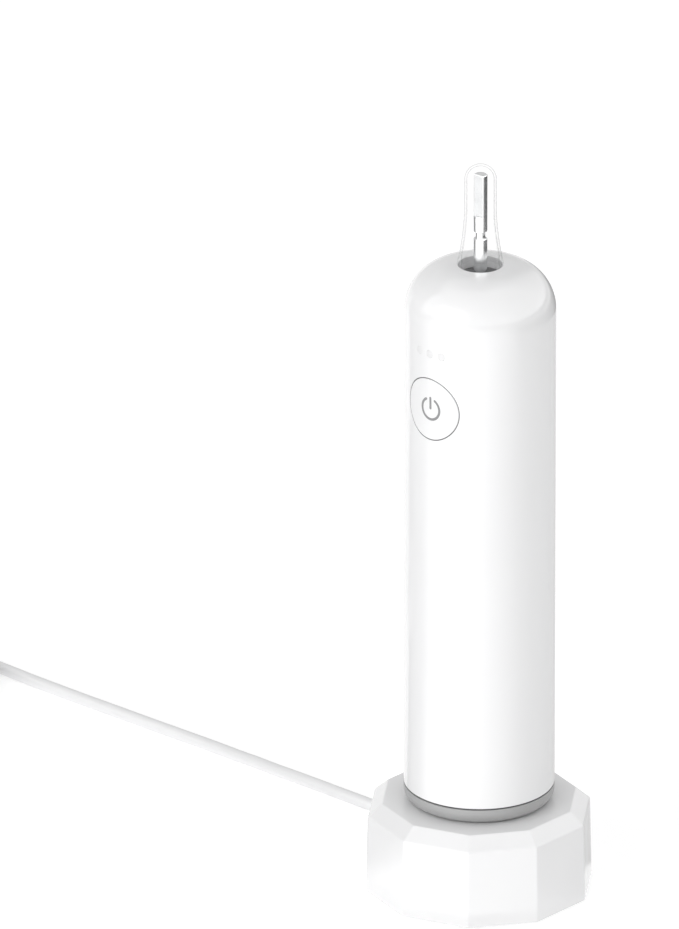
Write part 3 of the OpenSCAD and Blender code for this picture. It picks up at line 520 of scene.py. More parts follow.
class Shader:
    """One node material under construction, read in Object coordinates."""

    def __init__(self, name: str) -> None:
        """Starts a material with a Principled shader and its output."""
        self.material = bpy.data.materials.new(name)
        self.material.use_nodes = True
        self.tree = self.material.node_tree
        self.tree.nodes.clear()
        self.bsdf = self.tree.nodes.new("ShaderNodeBsdfPrincipled")
        output = self.tree.nodes.new("ShaderNodeOutputMaterial")
        self.tree.links.new(self.bsdf.outputs["BSDF"], output.inputs["Surface"])
        self.place = self.tree.nodes.new("ShaderNodeTexCoord").outputs["Object"]

    def link(self, source: bpy.types.NodeSocket, target: bpy.types.NodeSocket) -> None:
        """Joins two sockets."""
        self.tree.links.new(source, target)

    def stretched(self, scale: Sequence[float], turn: Sequence[float] = (0, 0, 0)) -> bpy.types.NodeSocket:
        """Scales the coordinates.

        Args:
            scale: a factor for each axis.
            turn: rotation in radians about each axis.

        Returns:
            The scaled coordinates.
        """
        mapping = self.tree.nodes.new("ShaderNodeMapping")
        mapping.inputs["Scale"].default_value = tuple(scale)
        mapping.inputs["Rotation"].default_value = tuple(turn)
        self.link(self.place, mapping.inputs["Vector"])
        return mapping.outputs["Vector"]

    def noise(self, feature: float, detail: float = 2.0, at: bpy.types.NodeSocket | None = None
              ) -> bpy.types.NodeSocket:
        """Adds a noise pattern.

        Args:
            feature: size of a blotch, in metres.
            detail: how many finer layers it has.
            at: coordinates, or None for the plain ones.

        Returns:
            The pattern, around 0.5.
        """
        node = self.tree.nodes.new("ShaderNodeTexNoise")
        node.inputs["Scale"].default_value = 1 / feature
        node.inputs["Detail"].default_value = detail
        self.link(at or self.place, node.inputs["Vector"])
        return node.outputs["Fac"]

    def wave(self, feature: float, axis: str, distort: float = 0.0) -> bpy.types.NodeSocket:
        """Adds bands across an axis.

        Args:
            feature: distance from band to band, in metres.
            axis: X, Y or Z.
            distort: how uneven the bands are.

        Returns:
            The pattern, from 0 to 1.
        """
        node = self.tree.nodes.new("ShaderNodeTexWave")
        node.wave_type = "BANDS"
        node.bands_direction = axis
        node.inputs["Scale"].default_value = 0.314 / feature
        node.inputs["Distortion"].default_value = distort
        self.link(self.place, node.inputs["Vector"])
        return node.outputs["Fac"]

    def ranged(self, value: bpy.types.NodeSocket, low: float = 0.0, high: float = 1.0,
               start: float = 0.3, end: float = 0.7) -> bpy.types.NodeSocket:
        """Maps a pattern from start..end to low..high."""
        node = self.tree.nodes.new("ShaderNodeMapRange")
        node.inputs["From Min"].default_value = start
        node.inputs["From Max"].default_value = end
        node.inputs["To Min"].default_value = low
        node.inputs["To Max"].default_value = high
        self.link(value, node.inputs["Value"])
        return node.outputs["Result"]

    def blended(self, share: bpy.types.NodeSocket, first: Colour, second: Colour) -> bpy.types.NodeSocket:
        """Mixes two colours by a pattern."""
        node = self.tree.nodes.new("ShaderNodeMix")
        node.data_type = "RGBA"
        node.inputs[6].default_value = (*first, 1)
        node.inputs[7].default_value = (*second, 1)
        self.link(share, node.inputs[0])
        return node.outputs[2]

    def tone(self, share: bpy.types.NodeSocket, first: Colour, second: Colour) -> None:
        """Colours the surface from the first colour to the second by a pattern."""
        self.link(self.blended(share, first, second), self.bsdf.inputs["Base Color"])

    def gloss(self, pattern: bpy.types.NodeSocket, low: float, high: float) -> None:
        """Lets the roughness vary from low to high with a pattern."""
        self.link(self.ranged(pattern, low, high), self.bsdf.inputs["Roughness"])

    def bump(self, height: bpy.types.NodeSocket, depth: float, strength: float = 1.0) -> None:
        """Turns a pattern into relief of a depth in metres."""
        node = self.tree.nodes.new("ShaderNodeBump")
        node.inputs["Strength"].default_value = strength
        node.inputs["Distance"].default_value = depth
        self.link(height, node.inputs["Height"])
        self.link(node.outputs["Normal"], self.bsdf.inputs["Normal"])

    def settings(self, **values: float | Colour) -> None:
        """Sets constants on the shader's own sockets, with _ for a space in their names."""
        for key, value in values.items():
            socket = self.bsdf.inputs[key.replace("_", " ")]
            socket.default_value = (*value, 1) if isinstance(value, tuple) and len(value) == 3 else value


def shade(colour: Colour, factor: float) -> Colour:
    """Makes a colour lighter or darker by a factor."""
    return tuple(min(1.0, c * factor) for c in colour)


@dataclass(frozen=True)
class Coating:
    """What every finish has: the record's slot as its name, and a way to dress a shader."""

    name: str

    def material(self) -> bpy.types.Material:
        """Builds the finish."""
        s = Shader(self.name)
        self.dress(s)
        return s.material

    def dress(self, s: Shader) -> None:
        """Gives the shader this finish's patterns and constants."""
        raise NotImplementedError(self.name)


@dataclass(frozen=True)
class MouldedPlastic(Coating):
    """Injection-moulded plastic: faint flow shading, a slightly uneven gloss and a fine grain."""

    colour: Colour
    roughness: float = 0.3
    unevenness: float = 0.04
    grain: float = 0.25 * MM
    grain_depth: float = 0.002 * MM
    coat: float = 0.0
    shine: float = 0.5
    flow: float = 22 * MM
    patch: float = 6 * MM

    def dress(self, s: Shader) -> None:
        """Adds the finish's patterns."""
        flow = s.noise(self.flow, 3, s.stretched((1, 1, 0.35)))
        s.tone(s.ranged(flow), shade(self.colour, 0.985), shade(self.colour, 1.01))
        s.gloss(s.noise(self.patch, 4), self.roughness - self.unevenness, self.roughness + self.unevenness)
        s.bump(s.noise(self.grain, 3), self.grain_depth)
        s.settings(IOR=1.5, Specular_IOR_Level=self.shine, Coat_Weight=self.coat, Coat_Roughness=0.06)


@dataclass(frozen=True)
class SoftRubber(Coating):
    """Moulded rubber: a dull, dry surface with a light bloom."""

    colour: Colour
    roughness: float = 0.65
    shine: float = 0.5
    sheen: float = 0.15
    bloom: float = 3 * MM
    grain: float = 0.18 * MM
    grain_depth: float = 0.006 * MM

    def dress(self, s: Shader) -> None:
        """Adds the finish's patterns."""
        bloom = s.noise(self.bloom, 5)
        s.tone(s.ranged(bloom), self.colour, shade(self.colour, 1.18))
        s.gloss(bloom, self.roughness - 0.08, self.roughness + 0.1)
        s.bump(s.noise(self.grain, 2), self.grain_depth)
        s.settings(IOR=1.5, Specular_IOR_Level=self.shine, Sheen_Weight=self.sheen, Sheen_Roughness=0.5)


@dataclass(frozen=True)
class TurnedMetal(Coating):
    """Metal with fine tool marks round the Z axis, and smudges in its polish."""

    colour: Colour
    roughness: float = 0.2
    mark: float = 0.16 * MM
    mark_depth: float = 0.001 * MM
    smudge: float = 2.4 * MM

    def dress(self, s: Shader) -> None:
        """Adds the finish's patterns."""
        marks = s.noise(self.mark, 4, s.stretched((0.05, 0.05, 1)))
        s.tone(s.ranged(s.noise(self.smudge, 3)), shade(self.colour, 0.93), self.colour)
        s.gloss(marks, self.roughness - 0.05, self.roughness + 0.09)
        s.bump(marks, self.mark_depth)
        s.settings(Metallic=1.0)


@dataclass(frozen=True)
class PlatedMetal(Coating):
    """Pressed and plated sheet or wire: bright, with soft blotches."""

    colour: Colour
    roughness: float = 0.28
    blotch: float = 1.6 * MM
    grain: float = 0.3 * MM
    grain_depth: float = 0.0015 * MM

    def dress(self, s: Shader) -> None:
        """Adds the finish's patterns."""
        blotch = s.noise(self.blotch, 4)
        s.tone(s.ranged(blotch), shade(self.colour, 0.88), self.colour)
        s.gloss(blotch, self.roughness + 0.1, self.roughness - 0.06)
        s.bump(s.noise(self.grain, 2), self.grain_depth)
        s.settings(Metallic=1.0)


@dataclass(frozen=True)
class ClearPlastic(Coating):
    """Thin water-clear plastic: see-through face on, painted grey shade where the eye skims its wall."""

    painted_edge_grey: Colour = (0.5, 0.505, 0.51)
    face_on: float = 0.012
    skimming: float = 0.5
    ripple: float = 3.5 * MM
    ripple_depth: float = 0.004 * MM

    def dress(self, s: Shader) -> None:
        """Adds the finish's patterns."""
        ripple = s.noise(self.ripple, 2, s.stretched((1, 1, 0.4)))
        s.gloss(ripple, 0.03, 0.07)
        s.bump(ripple, self.ripple_depth, 0.4)
        # The grey base colour is painted shade for the edges: it shows where the wall is seen edge on,
        # standing in for refraction.
        skim = s.tree.nodes.new("ShaderNodeLayerWeight")
        skim.inputs["Blend"].default_value = 0.5
        cover = s.ranged(skim.outputs["Facing"], self.face_on, self.skimming, 0.55, 1.0)
        s.link(cover, s.bsdf.inputs["Alpha"])
        s.settings(Base_Color=self.painted_edge_grey, IOR=1.49)


@dataclass(frozen=True)
class MilkyPlastic(Coating):
    """Frosted light window: scatters light and hides what lies behind it."""

    colour: Colour
    roughness: float = 0.35
    cloud: float = 0.5 * MM
    grain: float = 0.12 * MM
    grain_depth: float = 0.001 * MM

    def dress(self, s: Shader) -> None:
        """Adds the finish's patterns."""
        cloud = s.noise(self.cloud, 3)
        s.tone(s.ranged(cloud), shade(self.colour, 0.97), self.colour)
        s.gloss(cloud, self.roughness, self.roughness + 0.1)
        s.bump(s.noise(self.grain, 2), self.grain_depth)
        s.settings(IOR=1.49)


@dataclass(frozen=True)
class CircuitBoard(Coating):
    """Solder mask over copper tracks: the tracks show as lighter raised lines."""

    mask: Colour = (0.012, 0.13, 0.05)
    track: Colour = (0.03, 0.22, 0.09)
    pitch: float = 1.3 * MM
    cloud: float = 2 * MM
    track_height: float = 0.03 * MM

    def dress(self, s: Shader) -> None:
        """Adds the finish's patterns."""
        lines = s.tree.nodes.new("ShaderNodeTexBrick")
        lines.inputs["Scale"].default_value = 1 / (4 * self.pitch)
        lines.inputs["Mortar Size"].default_value = 0.03
        lines.inputs["Color1"].default_value = (0, 0, 0, 1)
        lines.inputs["Color2"].default_value = (0.1, 0.1, 0.1, 1)
        lines.inputs["Mortar"].default_value = (1, 1, 1, 1)
        s.link(s.stretched((1, 1, 1), (math.pi / 2, 0, 0)), lines.inputs["Vector"])
        tracks = lines.outputs["Color"]
        s.tone(tracks, self.mask, self.track)
        s.gloss(s.noise(self.cloud, 2), 0.25, 0.38)
        s.bump(tracks, self.track_height)


@dataclass(frozen=True)
class WoundWire(Coating):
    """Enamelled wire laid side by side, darker between turns: painted shade in the grooves."""

    colour: Colour = (0.62, 0.22, 0.07)
    wire: float = 0.14 * MM
    wire_depth: float = 0.05 * MM
    cloud: float = 1 * MM

    def dress(self, s: Shader) -> None:
        """Adds the finish's patterns."""
        turns = s.wave(self.wire, "Z", 0.4)
        # The dark end of the bands is painted shade in the grooves between turns.
        s.tone(turns, shade(self.colour, 0.45), self.colour)
        s.gloss(s.noise(self.cloud, 2), 0.22, 0.36)
        s.bump(turns, self.wire_depth)
        s.settings(Metallic=0.85, Coat_Weight=0.6, Coat_Roughness=0.15)


@dataclass(frozen=True)
class CellWrap(Coating):
    """Shrink wrap over a battery cell: blue, with long creases darkened by painted shade."""

    dark: Colour = (0.02, 0.07, 0.18)
    light: Colour = (0.05, 0.19, 0.42)
    crease: float = 1.4 * MM
    crease_depth: float = 0.03 * MM

    def dress(self, s: Shader) -> None:
        """Adds the finish's patterns."""
        crease = s.noise(self.crease, 3, s.stretched((1, 1, 0.15)))
        # The dark colour falls in the low creases: painted shade.
        s.tone(s.ranged(crease), self.dark, self.light)
        s.gloss(crease, 0.2, 0.4)
        s.bump(crease, self.crease_depth)
        s.settings(Coat_Weight=0.3, Coat_Roughness=0.2)


class Finish(Enum):
    """Every finish on the part, by the record's slot."""

    WHITE_GLOSS = MouldedPlastic("white_gloss", (0.83, 0.83, 0.835), 0.2, 0.03, 0.5 * MM, 0.0006 * MM, 0.35)
    WHITE_SATIN = MouldedPlastic("white_satin", (0.82, 0.82, 0.825), 0.42, 0.05, 0.22 * MM, 0.003 * MM)
    GREY_CAP = MouldedPlastic("grey_cap", (0.36, 0.36, 0.36), 0.38, 0.05, 0.22 * MM, 0.003 * MM)
    DARK_RUBBER = SoftRubber("dark_rubber", (0.055, 0.055, 0.058))
    SOFT_GREY = SoftRubber("soft_grey", (0.15, 0.15, 0.152), 0.7, 0.12, 0.02)
    PRINT_GREY = MouldedPlastic("print_grey", (0.285, 0.285, 0.29), 0.6, 0.04, 0.2 * MM, 0.001 * MM,
                                shine=0.12)
    CLEAR_PLASTIC = ClearPlastic("clear_plastic")
    WINDOW = MilkyPlastic("window", (0.745, 0.745, 0.75), 0.3)
    STEEL = TurnedMetal("steel", (0.78, 0.785, 0.79), 0.19)
    DARK_STEEL = TurnedMetal("dark_steel", (0.28, 0.285, 0.3), 0.32)
    ZINC = PlatedMetal("zinc", (0.62, 0.63, 0.65))
    GOLD = PlatedMetal("gold", (0.83, 0.62, 0.22), 0.22)
    COPPER = WoundWire("copper")
    BOARD = CircuitBoard("board")
    BLACK_PLASTIC = MouldedPlastic("black_plastic", (0.022, 0.022, 0.024), 0.4)
    FRAME_GREY = MouldedPlastic("frame_grey", (0.45, 0.46, 0.47), 0.5)
    CELL_WRAP = CellWrap("cell_wrap")
    LEAD_WHITE = MouldedPlastic("lead_white", (0.8, 0.8, 0.805), 0.36, 0.05, 0.6 * MM, 0.003 * MM)
    WIRE_RED = MouldedPlastic("wire_red", (0.5, 0.04, 0.03), 0.38)
    SLOT_GREY = MouldedPlastic("slot_grey", (0.3, 0.3, 0.31), 0.45)


@dataclass
class Palette:
    """Builds each finish once and hands it out."""

    made: dict[Finish, bpy.types.Material] = field(default_factory=dict)

    def get(self, finish: Finish) -> bpy.types.Material:
        """Gives a finish's material, built on its first use."""
        if finish not in self.made:
            self.made[finish] = finish.value.material()
        return self.made[finish]

    def piece(self, name: str, surface: Surface, finish: Finish, body: str, *nodes: str) -> bpy.types.Object:
        """Makes, finishes and settles one piece.

        Args:
            name: the piece's name.
            surface: its shape.
            finish: its finish, whose name is also the record's slot.
            body: the body that it rides on.
            nodes: the nodes that it stands for.

        Returns:
            The piece.
        """
        made = make_object(name, surface, self.get(finish))
        return settle(made, body, finish.value.name, *nodes)


# ---------- lead and plug ----------


@dataclass
class Plug:
    """The USB plug: its moulded grip, its folded steel shell and its tongue with the contacts.

    The grip's shoulder, lip and grooves are shares of its body's length. The shell's windows reach
    from one number to the other, along X from its mouth and across from its middle. A contact is
    (its end from the mouth, its width, its thickness).
    """

    palette: Palette
    lead: float
    sleeve_length: float = 8 * MM
    sleeve_wall: float = 0.7 * MM
    sleeve_flare: float = 0.9 * MM
    ribs: int = 5
    rib_depth: float = 0.22 * MM
    shoulder: float = 0.16
    lip: float = 0.965
    fullness: float = 3.2
    grooves: tuple[float, ...] = (0.34, 0.45, 0.56)
    groove_width: float = 0.022
    groove_depth: float = 0.35 * MM
    sheet: float = 0.3 * MM
    corner: float = 0.7 * MM
    middle_ring: float = 9.5 * MM
    window_x: tuple[float, float] = (4.6 * MM, 6.8 * MM)
    window_y: tuple[float, float] = (1.2 * MM, 3.4 * MM)
    contact_pitch: float = 2.2 * MM
    contact: tuple[float, float, float] = (8 * MM, 1 * MM, 0.12 * MM)

    def section(self, x: np.ndarray, half_w: np.ndarray, half_h: np.ndarray, power: np.ndarray,
                middle: np.ndarray, sides: int = 64) -> Surface:
        """Stacks superellipse sections along X and closes both ends.

        A section's point at angle a is (x, w sign(c) |c|^(2/p), h sign(s) |s|^(2/p)), with c = cos a
        and s = sin a.

        Args:
            x: the sections' places.
            half_w: their half widths along Y.
            half_h: their half heights along Z.
            power: their exponents, 2 for an ellipse and more for a fuller form.
            middle: the line's y and z.
            sides: points round a section.

        Returns:
            The closed surface.
        """
        angle = circle_angles(sides)
        c, s = np.cos(angle), np.sin(angle)
        bend = (2 / power)[:, None]
        y = middle[0] + half_w[:, None] * np.sign(c) * np.abs(c) ** bend
        z = middle[1] + half_h[:, None] * np.sign(s) * np.abs(s) ** bend
        rings = np.stack([np.broadcast_to(x[:, None], y.shape), y, z], axis=-1)
        return capped(rings, (x[0], *middle), (x[-1], *middle))

    def grip(self) -> bpy.types.Object:
        """The moulded grip, with a ribbed sleeve towards the lead and three finger grooves.

        Along the sleeve, with u from 0 to 1, the radius grows evenly, with a rib at each crest of a
        cosine. Along the body, with v from 0 to 1, the size rises by a quarter circle over the
        shoulder, tucks in by a cube at the lip, and dips by a bell curve at each groove.
        """
        box = Span.of("plug_grip")
        start, back, front = box.high[0], box.high[0] - self.sleeve_length, box.low[0]
        u = np.linspace(0, 1, 49)
        ribs = self.rib_depth * smoothstep(0.5 + 2 * np.cos(2 * math.pi * self.ribs * u)) * (u < 0.97)
        sleeve = self.lead / 2 + self.sleeve_wall + self.sleeve_flare * u - self.rib_depth + ribs
        v = np.concatenate([np.linspace(0, self.shoulder, 13), np.linspace(0.18, 0.96, 60),
                            np.linspace(self.lip, 1, 9)])
        rise = np.sqrt(np.clip(1 - (1 - np.clip(v / self.shoulder, 0, 1)) ** 2, 0, 1))
        tuck = 1 - 0.1 * (np.clip((v - self.lip) / (1 - self.lip), 0, 1) ** 3)
        groove = sum(np.exp(-(((v - place) / self.groove_width) ** 2)) for place in self.grooves)
        neck = self.lead / 2 + self.sleeve_wall + self.sleeve_flare
        half_w = (neck + (box.size[1] / 2 - neck) * rise) * tuck - self.groove_depth * groove
        half_h = (neck + (box.size[2] / 2 - neck) * rise) * tuck
        x = np.concatenate([start + (back - start) * u, back + (front - back) * v[1:]])
        power = np.concatenate([np.full(len(u), 2.0), 2 + self.fullness * smoothstep(v[1:] / 0.2)])
        body = self.section(x, np.concatenate([sleeve, half_w[1:]]), np.concatenate([sleeve, half_h[1:]]),
                            power, Span.of("plug_shell").centre[1:])
        return self.palette.piece("plug_handle", body, Finish.LEAD_WHITE, "charger", "plug_grip")

    def shell(self) -> bpy.types.Object:
        """The folded steel shell: a rounded rectangle along X with two square windows a side."""
        box = Span.of("plug_shell")
        half_w, half_h = box.size[1] / 2, box.size[2] / 2
        near, far = self.window_y
        xs = box.low[0] + np.array([0, self.sheet, *self.window_x, self.middle_ring, box.size[0]])
        side = [(-half_w, -half_h, self.corner), (-far, -half_h, 0), (-near, -half_h, 0), (near, -half_h, 0),
                (far, -half_h, 0), (half_w, -half_h, self.corner)]
        outer = rounded(side + [(-y, -z, r) for y, z, r in side], step=18)
        after = np.roll(outer.points, -1, axis=0)
        y, z = np.abs(outer.points).T
        flat = np.isclose(z, half_h) & (y > near - WELD) & (y < far + WELD)
        hole = flat & np.roll(flat, -1) & (outer.points[:, 0] * after[:, 0] > 0)
        keep = np.ones((len(xs) - 1, len(y)), bool)
        keep[2, hole] = False

        def along(line: np.ndarray) -> np.ndarray:
            """Carries a section along X."""
            return np.stack([np.column_stack([np.full(len(line), x), line]) for x in xs])

        skin, lining = along(outer.points), along(outer.points - self.sheet * outer.normals)
        faces = [grid(skin, keep=keep), grid(lining[::-1], keep=keep[::-1]),
                 grid(np.stack([lining[0], skin[0]])), grid(np.stack([skin[-1], lining[-1]]))]
        for k in np.flatnonzero(hole):
            j = (k + 1) % len(y)
            ring = [(2, k), (2, j), (3, j), (3, k)]
            faces.append(grid(np.array([[skin[r] for r in ring], [lining[r] for r in ring]])))
        body = joined(*faces).shifted(0, *box.centre[1:])
        return self.palette.piece("plug_sleeve", body, Finish.ZINC, "charger", "plug_shell")

    def tongue(self) -> list[bpy.types.Object]:
        """The plastic tongue, and the four flat contacts on its face, the outer two longer."""
        box = Span.of("plug_tongue")
        body = slab(box.low, box.high, 0.3 * MM)
        length, width, thick = self.contact
        strips = []
        for k, start in zip((-1.5, -0.5, 0.5, 1.5), (0.4 * MM, 1.4 * MM, 1.4 * MM, 0.4 * MM)):
            middle = box.centre[1] + k * self.contact_pitch
            strips.append(slab((box.low[0] + start, middle - width / 2, box.high[2] - thick),
                               (box.low[0] + length, middle + width / 2, box.high[2] + thick / 2), 0.04 * MM))
        contacts = self.palette.piece("plug_contacts", joined(*strips), Finish.GOLD, "charger")
        return [self.palette.piece("plug_contact_tongue", body, Finish.LEAD_WHITE, "charger", "plug_tongue"),
                contacts]


@dataclass
class Lead:
    """The white USB lead: its route, the stored coil, the strap and the grommet.

    The route from the base to the coil and the tail from the coil to the plug are in millimetres.
    """

    palette: Palette
    diameter: float = 2.8 * MM
    route: tuple = ((-24, 0, 9.3), (-30, 0, 9.3), (-36, 0.4, 9.1), (-43, 1.3, 8.6), (-50, 2.9, 7.7),
                    (-58, 5.1, 6.4), (-66, 7.4, 5.0), (-74, 9.7, 3.7), (-82, 11.5, 2.6), (-90, 12.8, 1.9),
                    (-98, 13.4, 1.5), (-108, 13.5, 1.4), (-120, 13.5, 1.4), (-132, 13.5, 1.4),
                    (-144, 13.5, 1.5), (-156, 13.5, 1.8))
    tail: tuple = ((-174, 13.5, 4.8), (-180, 13.5, 4.8), (-186, 13.5, 4.8), (-190, 13.5, 4.5),
                   (-194, 13.5, 4.1), (-196, 13.5, 4.1))
    turns_in_layer: float = 3.75
    crossing_turns: float = 0.5
    crossing_dip: float = 0.7 * MM
    points_in_turn: int = 40
    tie_angle: float = math.radians(215)
    tie_thickness: float = 0.5 * MM
    tie_width: float = 5 * MM
    tie_bend: float = 1.6 * MM
    sleeve: float = 2.4 * MM
    flange: tuple[float, float] = (3.8 * MM, 5.0 * MM)
    mouth: float = 1.2 * MM

    @property
    def coil(self) -> Span:
        """The stored coil's box."""
        return Span.of("cord_coil")

    def coil_path(self) -> np.ndarray:
        """Winds the coil: a flat spiral inwards, a climb, and a flat spiral outwards on top of it.

        Angle is a quarter turn plus the winding w in turns. The lower layer's radius falls by one
        diameter a turn, the upper layer's grows by as much, and between them the lead climbs by
        one diameter in half a turn.

        Returns:
            The points of the coil's line.
        """
        outer = self.coil.size[0] / 2 - self.diameter / 2
        inner = outer - self.diameter * self.turns_in_layer
        whole = 2 * self.turns_in_layer + self.crossing_turns
        w = np.linspace(0, whole, round(whole * self.points_in_turn) + 1)
        climb = np.clip((w - self.turns_in_layer) / self.crossing_turns, 0, 1)
        back = np.maximum(w - self.turns_in_layer - self.crossing_turns, 0)
        radius = np.where(w < self.turns_in_layer, outer - self.diameter * w, inner + self.diameter * back)
        radius = radius - self.crossing_dip * np.sin(math.pi * climb)
        height = self.coil.low[2] + self.diameter / 2 + self.diameter * smoothstep(climb)
        return polar(radius, math.pi / 2 + 2 * math.pi * w, height) + [*self.coil.centre[:2], 0]

    def path(self) -> np.ndarray:
        """The lead's whole line, from the base to the plug."""
        coil = self.coil_path()
        free = catmull_rom(np.concatenate([np.array(self.route) * MM, coil[:1]]), 8)
        end = catmull_rom(np.concatenate([coil[-1:], np.array(self.tail) * MM]), 8)
        return np.concatenate([free[:-1], coil, end[1:]])

    def strap(self) -> bpy.types.Object:
        """A flat strap round the coil's section: a rounded band carried round a rounded rectangle."""
        coil = self.coil
        outer = coil.size[0] / 2
        inner = outer - self.diameter * (self.turns_in_layer + 1)
        t, half = self.tie_thickness, self.tie_width / 2
        edge = math.sqrt(inner**2 - half**2)
        line = rounded([(r, z, self.tie_bend) for r, z in (
            (edge - t, coil.low[2] - t), (outer + t, coil.low[2] - t),
            (outer + t, coil.high[2] + t), (edge - t, coil.high[2] + t))], step=10)
        band = rounded([(-half, 0, 0), (half, 0, 0), (half, t, 0.2 * MM), (-half, t, 0.2 * MM)], step=30)
        along = np.array([math.cos(self.tie_angle), math.sin(self.tie_angle), 0])
        across = np.array([-along[1], along[0], 0])
        inset = t - band.points[:, 1]
        spot = line.points[:, None] - inset[None, :, None] * line.normals[:, None]
        points = (spot[..., :1] * along + spot[..., 1:] * UP
                  + band.points[None, :, :1] * across + [*coil.centre[:2], 0])
        body = grid(points, wrap_rows=True).outward()
        return self.palette.piece("lead_strap", body, Finish.LEAD_WHITE, "charger", "cord_tie")

    def grommet(self) -> bpy.types.Object:
        """The moulded sleeve that the lead leaves the base through: a stepped, rounded bush along X.

        Its profile starts at the inner end and ends in the mouth, which fits close round the lead.
        """
        box = Span.of("cord_grommet")
        length, flange, bore = box.size[0], box.size[1] / 2, self.diameter / 2 + 0.02 * MM
        near, far = self.flange
        line = rounded([(0, 0, 0), (self.sleeve, 0, 0.2 * MM), (self.sleeve, near, 0),
                        (flange, near, 0.2 * MM), (flange, far, 0.2 * MM), (self.sleeve, far, 0),
                        (self.sleeve, length, 0.5 * MM), (bore, length, 0.12 * MM),
                        (bore, length - self.mouth, 0), (0, length - self.mouth, 0)], step=20)
        bush = turned(Outline(line.points[1:-1], line.normals[1:-1]), 64, closed=False)
        flip = [1, 1, -1]
        outwards = Surface(bush.points * flip, bush.faces[:, ::-1], bush.normals * flip)
        placed = outwards.moved(((0, 1, 0), (0, 0, 1), (1, 0, 0)), (box.high[0], 0, box.centre[2]))
        return self.palette.piece("lead_bush", placed, Finish.LEAD_WHITE, "charger", "cord_grommet")

    def build(self) -> None:
        path = self.path()
        cord = self.palette.piece("usb_lead", tube(path, self.diameter / 2), Finish.LEAD_WHITE,
                                  "charger", "cord", "cord_coil")
        plug = Plug(self.palette, self.diameter)
        pieces = [self.strap(), plug.grip(), plug.shell(), *plug.tongue(), self.grommet()]
        log.info("lead: %.3f m", path_length(path))


# ---------- charging base ----------


@dataclass(frozen=True)
class Sides:
    """The base's regular outline: flat sides and rounded upright corners."""

    count: int = 10
    corner: float = 0.9 * MM

    def angles(self) -> np.ndarray:
        """Angles to sample it at, in steps of degrees: close at the corners, wide between them."""
        share = 360 / self.count
        near = np.array([-0.9, -0.4, -0.3, -0.2, -0.1, 0, 0.1, 0.2, 0.3, 0.4, 0.9])
        between = np.linspace(2.6, share - 2.6, 11)
        corners = share * (np.arange(self.count) + 0.5)
        steps = np.concatenate([near, between])
        return np.radians((corners[:, None] + steps[None, :]).ravel())

    def reach(self, size: float, angles: np.ndarray) -> np.ndarray:
        """Distance from the axis to the outline of half width size.

        On a flat it is size / cos t, with t the angle from the flat's middle. At a corner the arc
        of radius q has its centre at d = (size - q) / cos(h) on the corner's line, h being half a
        side's angle, and the distance is d cos e + sqrt(q^2 - d^2 sin^2 e) with e = h - t.

        Args:
            size: half the width across the flats.
            angles: the directions.

        Returns:
            The distances.
        """
        half = math.pi / self.count
        t = np.abs((angles + half) % (2 * half) - half)
        inner = size - self.corner
        middle = inner / math.cos(half)
        e = half - t
        arc = middle * np.cos(e) + np.sqrt(np.maximum(self.corner**2 - (middle * np.sin(e)) ** 2, 0))
        return np.where(t <= math.atan2(inner * math.tan(half), size), size / np.cos(t), arc)


@dataclass(frozen=True)
class Stadium:
    """A slot outline: two half circles joined by straight sides along X."""

    centre: float

    def reach(self, size: float, angles: np.ndarray) -> np.ndarray:
        """Distance from the middle to a slot of half width size, with end centres at +-centre."""
        c, s = np.abs(np.cos(angles)), np.abs(np.sin(angles))
        end = self.centre * c + np.sqrt(np.maximum(size**2 - (self.centre * s) ** 2, 0))
        return np.where(self.centre * s >= size * c, size / np.maximum(s, 1e-9), end)


def pad_reach(size: float, angles: np.ndarray) -> np.ndarray:
    """A superellipse of half width size: size / (|cos a|^p + |sin a|^p)^(1/p)."""
    c, s = np.abs(np.cos(angles)), np.abs(np.sin(angles))
    return size / (c**PAD_POWER + s**PAD_POWER) ** (1 / PAD_POWER)


